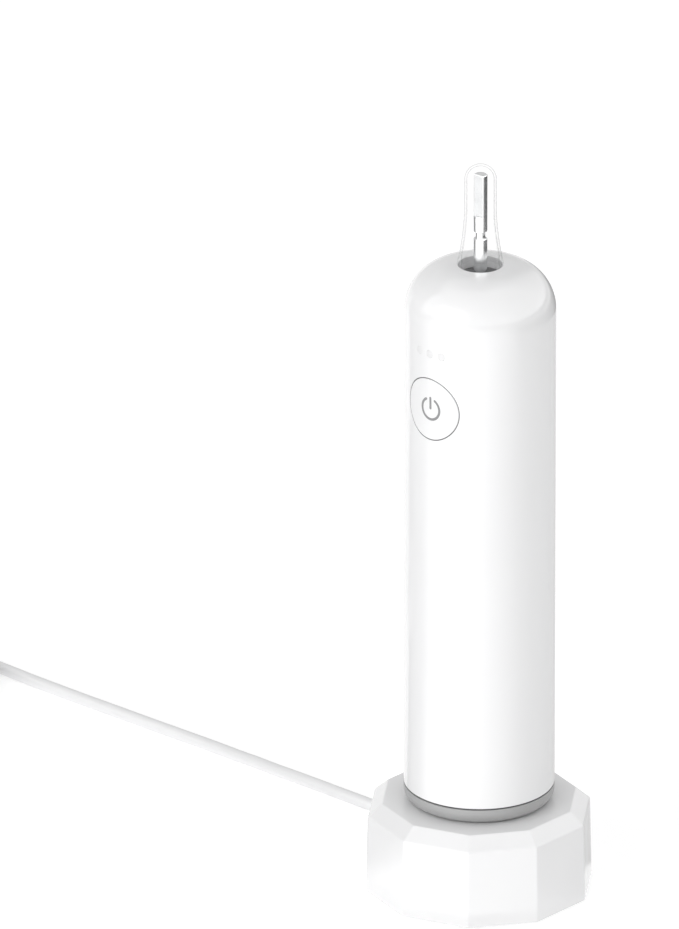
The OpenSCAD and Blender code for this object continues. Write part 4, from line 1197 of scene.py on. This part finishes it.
@dataclass
class ChargingBase:
    """The ten-sided base: its cover with the raised pad, its foot, and the pins in their slot.

    The chamfer is (inwards, down), and the slot is (length, width).
    """

    palette: Palette
    sides: Sides = Sides()
    pad_half: float = 10.9 * MM
    pad_height: float = 1.0 * MM
    pad_fillet: float = 0.5 * MM
    draft: float = 0.38 * MM
    chamfer: tuple[float, float] = (3.1 * MM, 2.8 * MM)
    wall: float = 2.0 * MM
    ceiling: float = 2.2 * MM
    slot: tuple[float, float] = (7.8 * MM, 3.4 * MM)
    tread_place: float = 0.8
    tread_halves: tuple[float, float] = (0.8 * MM, 1 * MM)
    tread_depth: float = 0.25 * MM
    barrel_wall: float = 0.18 * MM
    barrel_floor: float = 0.6 * MM

    def cover(self) -> None:
        """The cover as one closed loop of rings: cavity, lower edge, wall, chamfer, pad and slot."""
        box = Span.of("charger_cover")
        half = box.size[0] / 2
        bottom, pad_top = box.low[2], box.high[2]
        top = pad_top - self.pad_height
        wall = half - self.draft
        inside, roof = wall - self.wall, top - self.ceiling
        shell = rounded([(inside, roof, 0.4 * MM), (inside, bottom, 0.15 * MM), (half, bottom, 0.3 * MM),
                         (wall, top - self.chamfer[1], 0.8 * MM), (wall - self.chamfer[0], top, 0.6 * MM),
                         (self.pad_half + 3.4 * MM, top, 0)], closed=False, step=14)
        pad = rounded([(self.pad_half + 1.0 * MM, top, 0), (self.pad_half, top, self.pad_fillet),
                       (self.pad_half, pad_top, 0.4 * MM), (self.pad_half - 1.5 * MM, pad_top, 0)],
                      closed=False, step=14)
        half_slot = self.slot[1] / 2
        opening = rounded([(half_slot + 1.0 * MM, pad_top, 0), (half_slot, pad_top, 0.15 * MM),
                           (half_slot, roof, 0), (half_slot + 0.4 * MM, roof, 0)], closed=False, step=18)
        slot = Stadium((self.slot[0] - self.slot[1]) / 2)
        body = ring_stack(self.sides.angles(), [(self.sides.reach, shell), (pad_reach, pad),
                                                (slot.reach, opening)])
        self.palette.piece("base_cover", body, Finish.WHITE_GLOSS, "charger", "charger_cover")

    def foot(self) -> None:
        """The rubber foot: a disc with a rounded rim and a shallow ring groove."""
        box = Span.of("foot_pad")
        r, low, high = box.size[0] / 2, box.low[2], box.high[2]
        tread, bed = self.tread_place * r, low + self.tread_depth
        narrow, wide = self.tread_halves
        disc = lathed([(0, low, 0), (tread - wide, low, 0), (tread - narrow, bed, 0.1 * MM),
                       (tread + narrow, bed, 0.1 * MM), (tread + wide, low, 0.05 * MM),
                       (r, low, 0.35 * MM), (r, high, 0.1 * MM), (0, high, 0)], 20, 128)
        self.palette.piece("base_foot", disc, Finish.DARK_RUBBER, "charger", "foot_pad")

    def pins(self) -> None:
        """The three sprung pins: a shank and a domed tip, and the barrel that each slides in."""
        box = Span.of("pin_barrels")
        low, high, r = box.low[2], box.high[2], box.size[1] / 2
        pitch = box.size[0] / 2 - r
        bore, bed = r - self.barrel_wall, low + self.barrel_floor
        barrel = lathed([(0, low, 0), (r, low, 0.1 * MM), (r, high, 0.08 * MM), (bore, high, 0.05 * MM),
                         (bore, bed, 0.05 * MM), (0, bed, 0)], 22, 32)
        self.palette.piece("pin_sleeves", joined(*(barrel.shifted(k * pitch, 0, 0) for k in (-1, 0, 1))),
                           Finish.GOLD, "charger", "pin_barrels")
        for k in (1, 2, 3):
            node = f"contact_pin_{k}"
            box = Span.of(node)
            low, high, r = box.low[2], box.high[2], box.size[1] / 2
            pin = lathed([(0, low, 0), (r, low, 0.12 * MM), (r, high, r * 0.98), (0, high, 0)], 12, 36)
            self.palette.piece(f"pin_plunger_{k}", pin.shifted(box.centre[0], 0, 0), Finish.GOLD, node, node)

    def build(self) -> None:
        """Makes every visible piece of the base."""
        self.cover()
        self.foot()
        self.pins()


# ---------- handle ----------


@dataclass(frozen=True)
class Window:
    """A round hole along a radius of the handle, cut in a rectangle of the wall's grid.

    Its middle lies at the height z, column columns round from the front. The rectangle reaches half
    cells each way, and the hole's lip is rounded by edge.
    """

    column: int
    half: int
    z: float
    hole: float
    edge: float


@dataclass
class OnHandle:
    """Pieces that keep to the handle's shell: its outside radius and its wall."""

    palette: Palette
    wall: float = 1.8 * MM

    @property
    def radius(self) -> float:
        """Outside radius of the shell."""
        return float(Span.of("handle_shell").size[0] / 2)


@dataclass
class Handle(OnHandle):
    """The handle's shell with its windows, the end cap and dark joint below it, and the shaft's lip.

    The pocket is (half width, depth), and the cap's slot (place of its end centres, half width).
    """

    columns: int = 300
    shoulder: float = 10.5 * MM
    recess: float = 4.85 * MM
    recess_depth: float = 8 * MM
    neck_wall: float = 1.4 * MM
    neck_length: float = 9 * MM
    bore: float = 3.85 * MM
    cap_wall: float = 3.6 * MM
    cap_round: float = 2.6 * MM
    spigot_wall: float = 1.6 * MM
    pocket: tuple[float, float] = (11.8 * MM, 1.4 * MM)
    cap_slot: tuple[float, float] = (2.2 * MM, 2.0 * MM)
    lip_hole: float = 1.55 * MM

    @property
    def row_step(self) -> float:
        """Height of a grid row in the windows: as high as a column is wide."""
        return 2 * math.pi * self.radius / self.columns

    def windows(self) -> list[Window]:
        """The button's hole and the holes of the lights."""
        gasket, lights = Span.of("button_gasket"), Span.of("light_windows")
        light = lights.size[2] / 2
        reach = lights.size[0] / 2 - light
        spread = round(math.degrees(math.asin(reach / self.radius)) * self.columns / 360)
        return [Window(0, 24, gasket.centre[2], gasket.size[2] / 2 - 0.04 * MM, 0.1 * MM)] + [
            Window(c, 4, lights.centre[2], light + 0.02 * MM, 0.03 * MM) for c in (-spread, 0, spread)]

    def patch(self, window: Window) -> Surface:
        """The wall around one hole, from the grid outside, through the hole, to the grid inside.

        Ring k of a face is (1 - s) rectangle + s circle in (angle, z), and the hole's lip is a
        quarter round: distance hole + f (1 - sin b) from the hole's axis and f (1 - cos b) deep.

        Args:
            window: the hole and the rectangle that it is cut in.

        Returns:
            The patch, open where it meets the wall's grid.
        """
        h, edge, row, step = window.half, window.edge, self.row_step, 2 * math.pi / self.columns
        side = np.arange(-h, h)
        lap = np.concatenate([np.full(2 * h, h), -side, np.full(2 * h, -h), side])
        across, upward = np.roll(lap, -h), np.roll(lap, h)
        turn = np.arctan2(upward, across)
        axis = window.column * step - math.pi / 2
        along, sideways = polar(1, axis, 0), polar(1, axis + math.pi / 2, 0)
        inwards = -(np.cos(turn)[:, None] * sideways + np.sin(turn)[:, None] * UP)

        def faced(radius: float, hole: float, sign: float) -> tuple[list, list]:
            """Rings from the rectangle to the circle on one face, and their normals."""
            circle = np.arcsin(hole * np.cos(turn) / radius)
            places, directions = [], []
            for s in np.linspace(0, 1, 7):
                angle = axis + (1 - s) * across * step + s * circle
                z = (1 - s) * (window.z + upward * row) + s * (window.z + hole * np.sin(turn))
                places.append(polar(radius, angle, z))
                directions.append(sign * polar(1, angle, 0))
            return places, directions

        rings, normals = faced(self.radius, window.hole + edge, 1)
        for b in np.radians([22.5, 45, 67.5, 90]):
            away = window.hole + edge * (1 - math.sin(b))
            x, z = away * np.cos(turn), window.z + away * np.sin(turn)
            deep = np.sqrt(self.radius**2 - x**2) - edge * (1 - math.cos(b))
            rings.append(x[:, None] * sideways + deep[:, None] * along + z[:, None] * UP)
            face = polar(1, axis + np.arcsin(x / self.radius), 0)
            normals.append(unit(math.cos(b) * face + math.sin(b) * inwards))
        back, back_normals = faced(self.radius - self.wall, window.hole, -1)
        rings += [back[-1]] + back[::-1]
        normals += [inwards] + back_normals[::-1]
        return grid(np.array(rings), np.array(normals))

    def shell(self) -> None:
        """The white shell: one closed profile turned about the axis, with windows patched in."""
        box = Span.of("handle_shell")
        low, top = box.low[2], box.high[2]
        outer, inner = self.radius, self.radius - self.wall
        windows = self.windows()
        levels = sorted({w.z + k * self.row_step for w in windows[:2] for k in range(-w.half, w.half + 1)})
        roof = top - self.wall
        floor, neck_low = top - self.recess_depth, top - self.neck_length
        neck = self.recess + self.neck_wall
        corners = [(outer, low, 0.25 * MM), *((outer, z, 0) for z in levels), (outer, top, self.shoulder),
                   (self.recess, top, 0.2 * MM), (self.recess, floor, 0.1 * MM), (self.bore, floor, 0.1 * MM),
                   (self.bore, neck_low, 0.1 * MM), (neck, neck_low, 0.2 * MM), (neck, roof, 0.3 * MM),
                   (inner, roof, 8.3 * MM), *((inner, z, 0) for z in levels[::-1]), (inner, low, 0.2 * MM)]
        line = rounded(corners, step=5)
        middle = (line.points + np.roll(line.points, -1, axis=0)) / 2
        upright = (np.abs(line.normals[:, 0]) > 0.9999) & (middle[:, 0] > inner - 0.1 * MM)
        keep = np.ones((len(middle), self.columns), bool)
        for w in windows:
            rows = upright & (np.abs(middle[:, 1] - w.z) < w.half * self.row_step)
            held = (np.arange(-w.half, w.half) + w.column) % self.columns
            keep[np.ix_(np.flatnonzero(rows), held)] = False
        body = turned(line, self.columns, start=-math.pi / 2, keep=keep)
        self.palette.piece("handle_body", joined(body, *(self.patch(w) for w in windows)),
                           Finish.WHITE_GLOSS, "handle", "handle_shell")

    def end_cap(self) -> None:
        """The grey end cap: a rounded foot, a spigot into the shell, and the pocket for the pad."""
        box = Span.of("end_cap")
        low, top, r = box.low[2], box.high[2], box.size[0] / 2
        shelf = low + self.cap_wall
        spigot = self.radius - self.wall - 0.05 * MM
        pocket, roof = self.pocket[0], low + self.pocket[1]
        slot_centre, slot = self.cap_slot
        rim = rounded([(r - self.cap_round - 0.04 * MM, low, 0), (r, low, self.cap_round),
                       (r, shelf, 0.12 * MM), (spigot, shelf, 0.05 * MM), (spigot, top, 0.3 * MM),
                       (spigot - self.spigot_wall, top, 0.2 * MM),
                       (spigot - self.spigot_wall, shelf, 0.2 * MM), (6 * MM, shelf, 0)],
                      closed=False, step=9)
        hole = rounded([(slot + 0.9 * MM, shelf, 0), (slot, shelf, 0.1 * MM), (slot, roof, 0.1 * MM),
                        (slot + 0.9 * MM, roof, 0)], closed=False, step=30)
        bowl = rounded([(pocket - 1 * MM, roof, 0), (pocket, roof, 0.3 * MM), (pocket, low, 0.3 * MM),
                        (pocket + 0.34 * MM, low, 0)], closed=False, step=15)
        body = ring_stack(circle_angles(240), [(round_reach, rim), (Stadium(slot_centre).reach, hole),
                                               (pad_reach, bowl)])
        self.palette.piece("handle_foot", body, Finish.GREY_CAP, "handle", "end_cap")

    def joint(self) -> None:
        """The dark seal between end cap and shell: a thin ring with rounded edges."""
        box = Span.of("end_cap_seal")
        low, high = box.low[2], box.high[2]
        outer, inner = box.size[0] / 2, self.radius - self.wall
        seal = lathed([(inner, low, 0.05 * MM), (outer, low, 0.08 * MM), (outer, high, 0.08 * MM),
                       (inner, high, 0.05 * MM)], 25, 180, closed=True)
        self.palette.piece("handle_seal", seal, Finish.DARK_RUBBER, "handle", "end_cap_seal")

    def shaft_lip(self) -> None:
        """The rubber lip round the shaft: a sunk ring whose face slopes down to the shaft."""
        box = Span.of("shaft_seal")
        r, low, rim, hole = box.size[0] / 2, box.low[2], box.high[2], self.lip_hole
        lip = lathed([(hole, low, 0.05 * MM), (r, low, 0.1 * MM), (r, rim, 0.25 * MM),
                      (r - 0.9 * MM, rim, 0.3 * MM), (hole + 0.85 * MM, rim - 0.9 * MM, 0.35 * MM),
                      (hole + 0.65 * MM, rim - 0.1 * MM, 0.08 * MM), (hole, rim - 0.1 * MM, 0.08 * MM)],
                     15, 96, closed=True)
        self.palette.piece("shaft_lip", lip, Finish.SOFT_GREY, "handle", "shaft_seal")

    def build(self) -> None:
        """Makes the shell and what closes its ends."""
        self.shell()
        self.end_cap()
        self.joint()
        self.shaft_lip()


# ---------- button and lights ----------


@dataclass
class FrontPanel(OnHandle):
    """What sits in the handle's windows: the ring, the button with its symbol, and the lights."""

    dish: float = 0.3 * MM
    dish_margin: float = 0.6 * MM
    button_gap: float = 0.26 * MM
    button_thickness: float = 1.6 * MM
    post: float = 1.5 * MM
    hook_half: float = 2 * MM
    hook_thickness: float = 0.9 * MM
    ring_width: float = 0.25 * MM
    ring_sunk: float = 0.14 * MM
    plug_depth: float = 1.7 * MM
    symbol_line: float = 0.58 * MM
    symbol_radius: float = 2.42 * MM
    symbol_gap: float = math.radians(30)
    bar: tuple[float, float] = (0.06, 1.05)
    proud: float = 0.012 * MM

    @property
    def rim(self) -> Span:
        """The box of the ring round the button."""
        return Span.of("button_gasket")

    def bent(self, flat: Surface, z: float, turn: float = 0.0) -> Surface:
        """Lays a surface from a plane onto the handle's front.

        A point (u, v, h) goes to the side by u, up by v and out to sqrt(R^2 - u^2) + h. A normal
        (p, q, n) becomes (p + n u / sqrt(R^2 - u^2), q, n).

        Args:
            flat: the surface, with h as its third coordinate.
            z: height of its middle.
            turn: angle round the handle, from the front.

        Returns:
            The bent surface.
        """
        u, v, h = flat.points.T
        sag = np.sqrt(self.radius**2 - u**2)
        points = np.stack([u, -(sag + h), v + z], axis=1)
        p, q, n = flat.normals.T
        normals = unit(np.stack([p + n * u / sag, -n, q], axis=1))
        c, s = math.cos(turn), math.sin(turn)
        spin = np.array([[c, s, 0], [-s, c, 0], [0, 0, 1]])
        return Surface(points @ spin, flat.faces, normals @ spin)

    def face(self, r: np.ndarray) -> np.ndarray:
        """Height of the dished face at a distance r from its middle: -dish (1 - (r / rim)^2)."""
        edge = self.rim.size[2] / 2 - self.dish_margin
        return -self.dish * np.clip(1 - (r / edge) ** 2, 0, 1)

    def hooks(self, z: float, r: float, back: float) -> list[Surface]:
        """The two hooks that hold the button behind the wall, each a foot and the arm to it.

        Args:
            z: height of the button's middle.
            r: the button's radius.
            back: how far in front of the axis the hooks end.

        Returns:
            Four blocks.
        """
        half, blocks = self.hook_half, []
        inner = r - self.button_thickness
        for side in (-1, 1):
            for outer, front in ((r + 1.25 * MM, -self.radius + self.wall + 0.3 * MM),
                                 (r - 0.6 * MM, -self.radius + 0.8 * MM)):
                near, far = sorted((z + side * inner, z + side * outer))
                blocks.append(slab((-half, front, near), (half, -back, far), 0.15 * MM))
        return blocks

    def button(self) -> None:
        """The dished button with a rounded rim, its post, and the hooks behind the wall."""
        back, z = Span.of("power_button").high[1], self.rim.centre[2]
        r, thick, post = self.rim.size[2] / 2 - self.button_gap, self.button_thickness, self.post
        bowl_r = np.linspace(r - 0.25 * MM, 0, 24)
        bowl = Outline.through(np.stack([bowl_r, self.face(bowl_r)], axis=1))
        rim = rounded([(0, -thick, 0), (r, -thick, 0.1 * MM), (r, 0.0, 0.14 * MM), (r - 0.3 * MM, 0, 0)],
                      closed=False, step=15)
        rim = Outline(rim.points[:-1], rim.normals[:-1])
        cap = self.bent(turned(rim.plus(bowl), 160, closed=False), z)
        tall = self.radius - thick / 2 + back
        rod = lathed([(0, 0, 0), (post, 0, 0.15 * MM), (post, tall, 0), (0, tall, 0)], 30, 40)
        rod = rod.moved(((1, 0, 0), (0, 0, 1), (0, -1, 0)), (0, back, z))
        hooks = self.hooks(z, r, self.radius - self.wall - 0.3 * MM - self.hook_thickness)
        self.palette.piece("button_cap", joined(cap, rod, *hooks), Finish.WHITE_GLOSS,
                           "button", "power_button")

    def stroke(self, path: np.ndarray) -> Surface:
        """Draws a round-ended line on the button's face, a little proud of it.

        The half width at a distance e beyond the line's end is sqrt(w^2 - e^2), and the height at
        (u, v) follows the dished face. A section point's first number is a share of the half width.
        Its second is a share of how proud the stroke stands, or a depth in millimetres if negative.

        Args:
            path: points (u, v) along the line's middle, evenly spaced.

        Returns:
            The closed stroke.
        """
        w = self.symbol_line / 2
        heading = unit(np.gradient(path, axis=0))
        beyond = w * np.sin(np.radians(np.linspace(90, 0, 7)))
        first = path[0] - beyond[:, None] * heading[0]
        last = path[-1] + beyond[::-1, None] * heading[-1]
        line = np.concatenate([first, path[1:-1], last])
        repeats = np.array([len(beyond)] + [1] * (len(path) - 2) + [len(beyond)])
        heading = np.repeat(heading, repeats, axis=0)
        ends = np.sqrt(w**2 - beyond**2)
        half = np.concatenate([ends, np.full(len(path) - 2, w), ends[::-1]])
        half[[0, -1]] = 0
        side = np.stack([heading[:, 1], -heading[:, 0]], axis=1)
        section = np.array([[-1, -0.2], [1, -0.2], [1, -0.02], [0.99, 0.7], [0.95, 1], [-0.95, 1],
                            [-0.99, 0.7], [-1, -0.02]])
        flat = line[:, None] + half[:, None, None] * section[None, :, :1] * side[:, None]
        lift = np.where(section[:, 1] > 0, section[:, 1] * self.proud, section[:, 1] * MM)
        height = self.face(np.linalg.norm(flat, axis=2)) + lift[None, :]
        return grid(np.concatenate([flat, height[..., None]], axis=2)).outward()

    def symbol(self) -> None:
        """The generic power symbol: a ring open at the top and a bar through the opening."""
        angle = math.pi / 2 + np.linspace(self.symbol_gap, 2 * math.pi - self.symbol_gap, 90)
        ring = polar(self.symbol_radius, angle, 0)[:, :2]
        height = np.linspace(*self.bar, 16) * self.symbol_radius
        bar = np.stack([np.zeros_like(height), height], axis=1)
        marks = [self.bent(self.stroke(path), self.rim.centre[2]) for path in (ring, bar)]
        self.palette.piece("button_symbol", joined(*marks), Finish.PRINT_GREY, "button", "power_symbol")

    def ring(self) -> None:
        """The soft ring round the button, a little sunk."""
        r = self.rim.size[2] / 2
        inner, deep, sunk = r - self.ring_width, -self.plug_depth, -self.ring_sunk
        ring = lathed([(inner, deep, 0), (r, deep, 0), (r, sunk, 0.04 * MM), (inner, sunk, 0.04 * MM)],
                      25, 160, closed=True)
        self.palette.piece("button_ring", self.bent(ring, self.rim.centre[2]), Finish.SOFT_GREY,
                           "handle", "button_gasket")

    def lights(self) -> None:
        """The light windows: milky plugs flush with the wall, with a hair of an edge."""
        box = Span.of("light_windows")
        r, deep, face = box.size[2] / 2, -self.plug_depth, -0.01 * MM
        spread = math.asin((box.size[0] / 2 - r) / self.radius)
        plug = lathed([(0, deep, 0), (r, deep, 0), (r, face, 0.05 * MM), (0, face, 0)], 20, 48)
        plugs = [self.bent(plug, box.centre[2], turn) for turn in (-spread, 0, spread)]
        self.palette.piece("light_lenses", joined(*plugs), Finish.WINDOW, "handle", "light_windows")

    def build(self) -> None:
        """Makes everything in the windows."""
        self.ring()
        self.button()
        self.symbol()
        self.lights()


# ---------- drive shaft and clear cap ----------


@dataclass
class Drive:
    """The steel drive shaft and the clear travel cap over it.

    A groove is (its lower edge, its width, the shaft's diameter in it), its edge measured from the
    shell's top. The flat is (its length from the tip, its distance from the axis).
    """

    palette: Palette
    groove: tuple[float, float, float] = (6.0 * MM, 1.8 * MM, 2.1 * MM)
    drip: tuple[float, float, float] = (-2.4 * MM, 0.8 * MM, 2.6 * MM)
    flat: tuple[float, float] = (9.9 * MM, 0.72 * MM)
    chamfer: float = 0.18 * MM
    break_edge: float = 0.06 * MM
    crisp: float = 0.01 * MM
    cap_slim: float = 3.58 * MM
    cap_wall: float = 0.5 * MM
    cap_plug: tuple[float, float] = (4.75 * MM, 1.0 * MM)
    skirt: float = 12 * MM
    flare: float = 1.55

    def profile(self) -> np.ndarray:
        """The shaft's turned profile, (r, z) from its foot to its tip."""
        box, top = Span.of("drive_shaft"), Span.of("handle_shell").high[2]
        r, low, tip = box.size[0] / 2, box.low[2], box.high[2]
        c, soft, near = self.chamfer, self.break_edge, self.crisp
        marks = [(0.0, low), (r - c, low), (r, low + c)]
        for place, width, across in (self.drip, self.groove):
            start = top + place
            end, deep = start + width, across / 2
            marks += [(r, start - soft), (r - soft, start), (deep, start + near), (deep, end - near),
                      (r - soft, end), (r, end + soft)]
        step = tip - self.flat[0]
        marks += [(r, step - near), (r, step), (r, step + near), (r, tip - c), (r - c, tip), (0.0, tip)]
        return np.array(marks)

    def shaft(self) -> None:
        """The shaft as a grid over height and angle.

        Its distance from the axis is the smaller of the turned radius R(z) and, over the flat's
        length, offset / cos a, with a the angle from the flat's normal.
        """
        profile = self.profile()
        meet = math.acos(self.flat[1] / profile[:, 0].max())
        crisp = np.radians(0.4)
        off = np.concatenate([np.linspace(-meet + crisp, meet - crisp, 24), [meet],
                              np.linspace(meet + crisp, 2 * math.pi - meet - crisp, 72), [-meet]])
        angle = off - math.pi / 2
        off = np.abs((off + math.pi) % (2 * math.pi) - math.pi)
        wall = np.where(off < math.pi / 2 - 1e-3, self.flat[1] / np.maximum(np.cos(off), 1e-3), 1.0)
        upper = profile[:, 1:] >= profile[-1, 1] - self.flat[0] - 1e-9
        reach = np.where(upper, np.minimum(profile[:, :1], wall), profile[:, :1])
        self.palette.piece("steel_shaft", grid(polar(reach, angle, profile[:, 1:])), Finish.STEEL,
                           "drive", "drive_shaft")

    def cap(self) -> None:
        """The clear cap: a flared skirt, a slim wall, a dome, and a plug that sits in the recess.

        The skirt's radius at height z is slim + (foot - slim) (1 - z / h)^flare.
        """
        box = Span.of("shaft_cap")
        foot, slim, wall, low = box.size[0] / 2, self.cap_slim, self.cap_wall, box.low[2]
        plug, seat = self.cap_plug[0], low + self.cap_plug[1]
        dome = box.high[2] - slim
        share = np.linspace(0.02, 1, 28)
        spread = (foot - slim) * (1 - share) ** self.flare
        skirt = np.stack([slim + spread, seat + self.skirt * share], axis=1)
        lean = np.radians(np.linspace(0, 90, 16))[1:]

        def arch(r: float) -> np.ndarray:
            """The dome's quarter circle of radius r, up to the axis."""
            line = np.stack([r * np.cos(lean), dome + r * np.sin(lean)], axis=1)
            line[-1, 0] = 0
            return line

        outer = Outline.through(np.concatenate([skirt, [[slim, dome]], arch(slim)]))
        lining = np.stack([np.minimum(skirt[:, 0], plug) - wall, skirt[:, 1]], axis=1)
        inner = Outline.through(np.concatenate([lining, [[slim - wall, dome]], arch(slim - wall)])[::-1])
        lip = rounded([(plug - wall, seat, 0), (plug - wall, low, 0.12 * MM), (plug, low, 0.15 * MM),
                       (plug, seat, 0.05 * MM), (foot, seat, 0.12 * MM), (foot, seat + 0.2 * MM, 0)],
                      closed=False, step=20)
        lip = Outline(lip.points[1:-1], lip.normals[1:-1])
        self.palette.piece("travel_cap", turned(lip.plus(outer).plus(inner), 128), Finish.CLEAR_PLASTIC,
                           "cap", "shaft_cap")

    def build(self) -> None:
        """Makes the shaft and its cap."""
        self.shaft()
        self.cap()


# ---------- inner parts, kept as they come from the part's source ----------


def finish_nodes(palette: Palette, frame: dict) -> None:
    """Gives every node of the part its procedural finish.

    Args:
        palette: the finishes.
    """
    names = {finish.value.name: finish for finish in Finish}
    slots = {part["node"]: part["material_slot"] for part in frame["record"]["subparts"]}
    for name, thing in frame["nodes"].items():
        finish = names.get(slots.get(name), Finish.WHITE_SATIN)
        for slot in thing.material_slots:
            slot.material = palette.get(finish)
    log.info("finished %d nodes", len(frame["nodes"]))


def shorten_springs(frame: dict) -> None:
    """Gives each charging pin's spring its own copy of its mesh.
    """
    for k in (1, 2, 3):
        spring = Span.of(f"pin_spring_{k}")
        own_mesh(frame["nodes"][f"pin_spring_{k}"])


# ---------- camera, light and floor ----------


def direction(azimuth: float, elevation: float) -> Vector:
    """The unit vector towards an azimuth and an elevation, both in radians."""
    level = math.cos(elevation)
    return Vector((math.cos(azimuth) * level, math.sin(azimuth) * level, math.sin(elevation)))


@dataclass(frozen=True)
class Card:
    """A ring sector over the floor that only reflections see, as a reflector or a flag.

    Its azimuths are in degrees. Its brightness goes evenly with the angle from one side's tone to
    the other's, and a tone of 0 makes a black flag.
    """

    azimuths: tuple[float, float]
    reach: tuple[float, float]
    z: float
    tones: tuple[float, float]

    def glow(self, name: str) -> bpy.types.Material:
        """Builds a material that gives light by the angle about Z and reflects none."""
        s = Shader(name)
        round_z = s.tree.nodes.new("ShaderNodeTexGradient")
        round_z.gradient_type = "RADIAL"
        s.link(s.place, round_z.inputs["Vector"])
        turns = [side / 360 + 0.5 for side in self.azimuths]
        s.link(s.ranged(round_z.outputs["Fac"], *self.tones, *turns), s.bsdf.inputs["Emission Strength"])
        s.settings(Base_Color=(0.0, 0.0, 0.0), Emission_Color=(1.0, 1.0, 1.0), Roughness=1.0,
                   Specular_IOR_Level=0.0)
        return s.material

    def lay(self, name: str) -> None:
        """Lays the card: points (r cos a, r sin a, z), with r and a evenly spaced."""
        r = np.linspace(*self.reach, 3)[:, None]
        flat = polar(r, np.radians(np.linspace(*self.azimuths, 25)), self.z)
        sheet = grid(flat, np.broadcast_to(UP, flat.shape).copy(), wrap_columns=False)
        made = make_object(name, sheet, self.glow(name))
        made.visible_camera = False
        made.visible_diffuse = False
        made.visible_shadow = False


@dataclass
class Studio:
    """A long lens, a bright even room, a soft key light, reflector cards and a pale floor."""

    azimuth: float = math.radians(-48.2)
    elevation: float = math.radians(23.3)
    aim: tuple[float, float, float] = (-46.9 * MM, 6.7 * MM, 84.1 * MM)
    distance: float = 5.6475
    lens: float = 1000.0
    room: float = 0.74
    key_side: tuple[float, float] = (math.radians(-95), math.radians(20))
    key_distance: float = 1.4
    key_size: tuple[float, float] = (1.1, 1.0)
    key_power: float = 5.6
    key_aim: float = 80 * MM
    floor_reach: tuple[float, float] = (0.05, 12)
    floor_glow: float = 0.39
    cards: tuple[Card, ...] = (
        Card((-180, -143), (0.03, 8), 1 * MM, (0.3, 0.3)),
        Card((-143, -120), (0.03, 8), 1 * MM, (0.3, 2.1)),
        Card((-120, -105), (0.03, 8), 1 * MM, (2.1, 3.0)),
        Card((-105, -50), (0.03, 8), 1 * MM, (3.0, 2.8)),
        Card((-50, 10), (0.03, 8), 1 * MM, (2.8, 0.85)),
        Card((10, 30), (0.027, 0.33), 1 * MM, (0.85, 0.6)),
        Card((30, 60), (0.027, 0.33), 1 * MM, (0.6, 0.6)),
        Card((60, 125), (0.027, 0.33), 1 * MM, (0.6, 0.7)),
        Card((10, 125), (0.335, 1.2), 1 * MM, (0.1, 0.1)),
        Card((-150, 60), (0, 16), 1.5, (2.2, 2.8)),
        Card((60, 110), (0, 16), 1.5, (2.8, 1.2)),
        Card((110, 180), (0, 1.2), 1.5, (1.2, 1.4)),
        Card((-180, -150), (0, 1.2), 1.5, (1.4, 2.2)),
    )

    def camera(self) -> None:
        """Places the camera on a sphere round the aim point."""
        data = bpy.data.cameras.new("camera")
        data.lens = self.lens
        data.sensor_width = 36
        data.clip_end = 60
        made = bpy.data.objects.new("camera", data)
        bpy.context.scene.collection.objects.link(made)
        away = direction(self.azimuth, self.elevation)
        made.location = Vector(self.aim) + away * self.distance
        made.rotation_euler = (-away).to_track_quat("-Z", "Y").to_euler()
        bpy.context.scene.camera = made

    def sky(self) -> None:
        """Fills the room with even, near-white light."""
        world = bpy.data.worlds.new("room")
        world.use_nodes = True
        shade_node = world.node_tree.nodes["Background"]
        shade_node.inputs["Color"].default_value = (1, 1, 1, 1)
        shade_node.inputs["Strength"].default_value = self.room
        bpy.context.scene.world = world

    def key_light(self) -> None:
        """Hangs the soft key light, a rectangle that faces the part."""
        data = bpy.data.lights.new("key_box", "AREA")
        data.shape = "RECTANGLE"
        data.size, data.size_y = self.key_size
        data.energy = self.key_power
        made = bpy.data.objects.new("key_box", data)
        bpy.context.scene.collection.objects.link(made)
        away = direction(*self.key_side)
        made.location = Vector((0, 0, self.key_aim)) + away * self.key_distance
        made.rotation_euler = away.to_track_quat("Z", "Y").to_euler()

    def floor(self) -> None:
        """Lays a wide pale floor: rings of a flat disc, a hair under the part's foot."""
        r = np.concatenate([[0], np.geomspace(*self.floor_reach, 24)])[::-1]
        line = Outline(np.stack([r, np.full_like(r, -0.02 * MM)], axis=1), np.tile([0.0, 1.0], (len(r), 1)))
        s = Shader("pale_floor")
        s.tone(s.ranged(s.noise(0.5, 2)), (0.8, 0.8, 0.8), (0.82, 0.82, 0.82))
        s.settings(Roughness=0.9, Emission_Color=(1, 1, 1), Emission_Strength=self.floor_glow,
                   Specular_IOR_Level=0.1)
        make_object("studio_floor", turned(line, closed=False), s.material)

    def build(self) -> None:
        """Sets up the light and the floor."""
        self.sky()
        self.floor()
        self.key_light()
        for k, card in enumerate(self.cards, 1):
            card.lay(f"card_{k}")
        bpy.context.scene.view_settings.view_transform = "Standard"


def main() -> None:
    """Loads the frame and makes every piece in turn."""
    logging.basicConfig(level=logging.INFO, format="%(name)s: %(message)s")
    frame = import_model()
    studio = Studio()
    studio.camera()
    palette = Palette()
    finish_nodes(palette, frame)
    for assembly in (Lead, ChargingBase, Handle, FrontPanel, Drive):
        assembly(palette).build()
    shorten_springs(frame)
    studio.build()


if __name__ == "__main__":
    main()
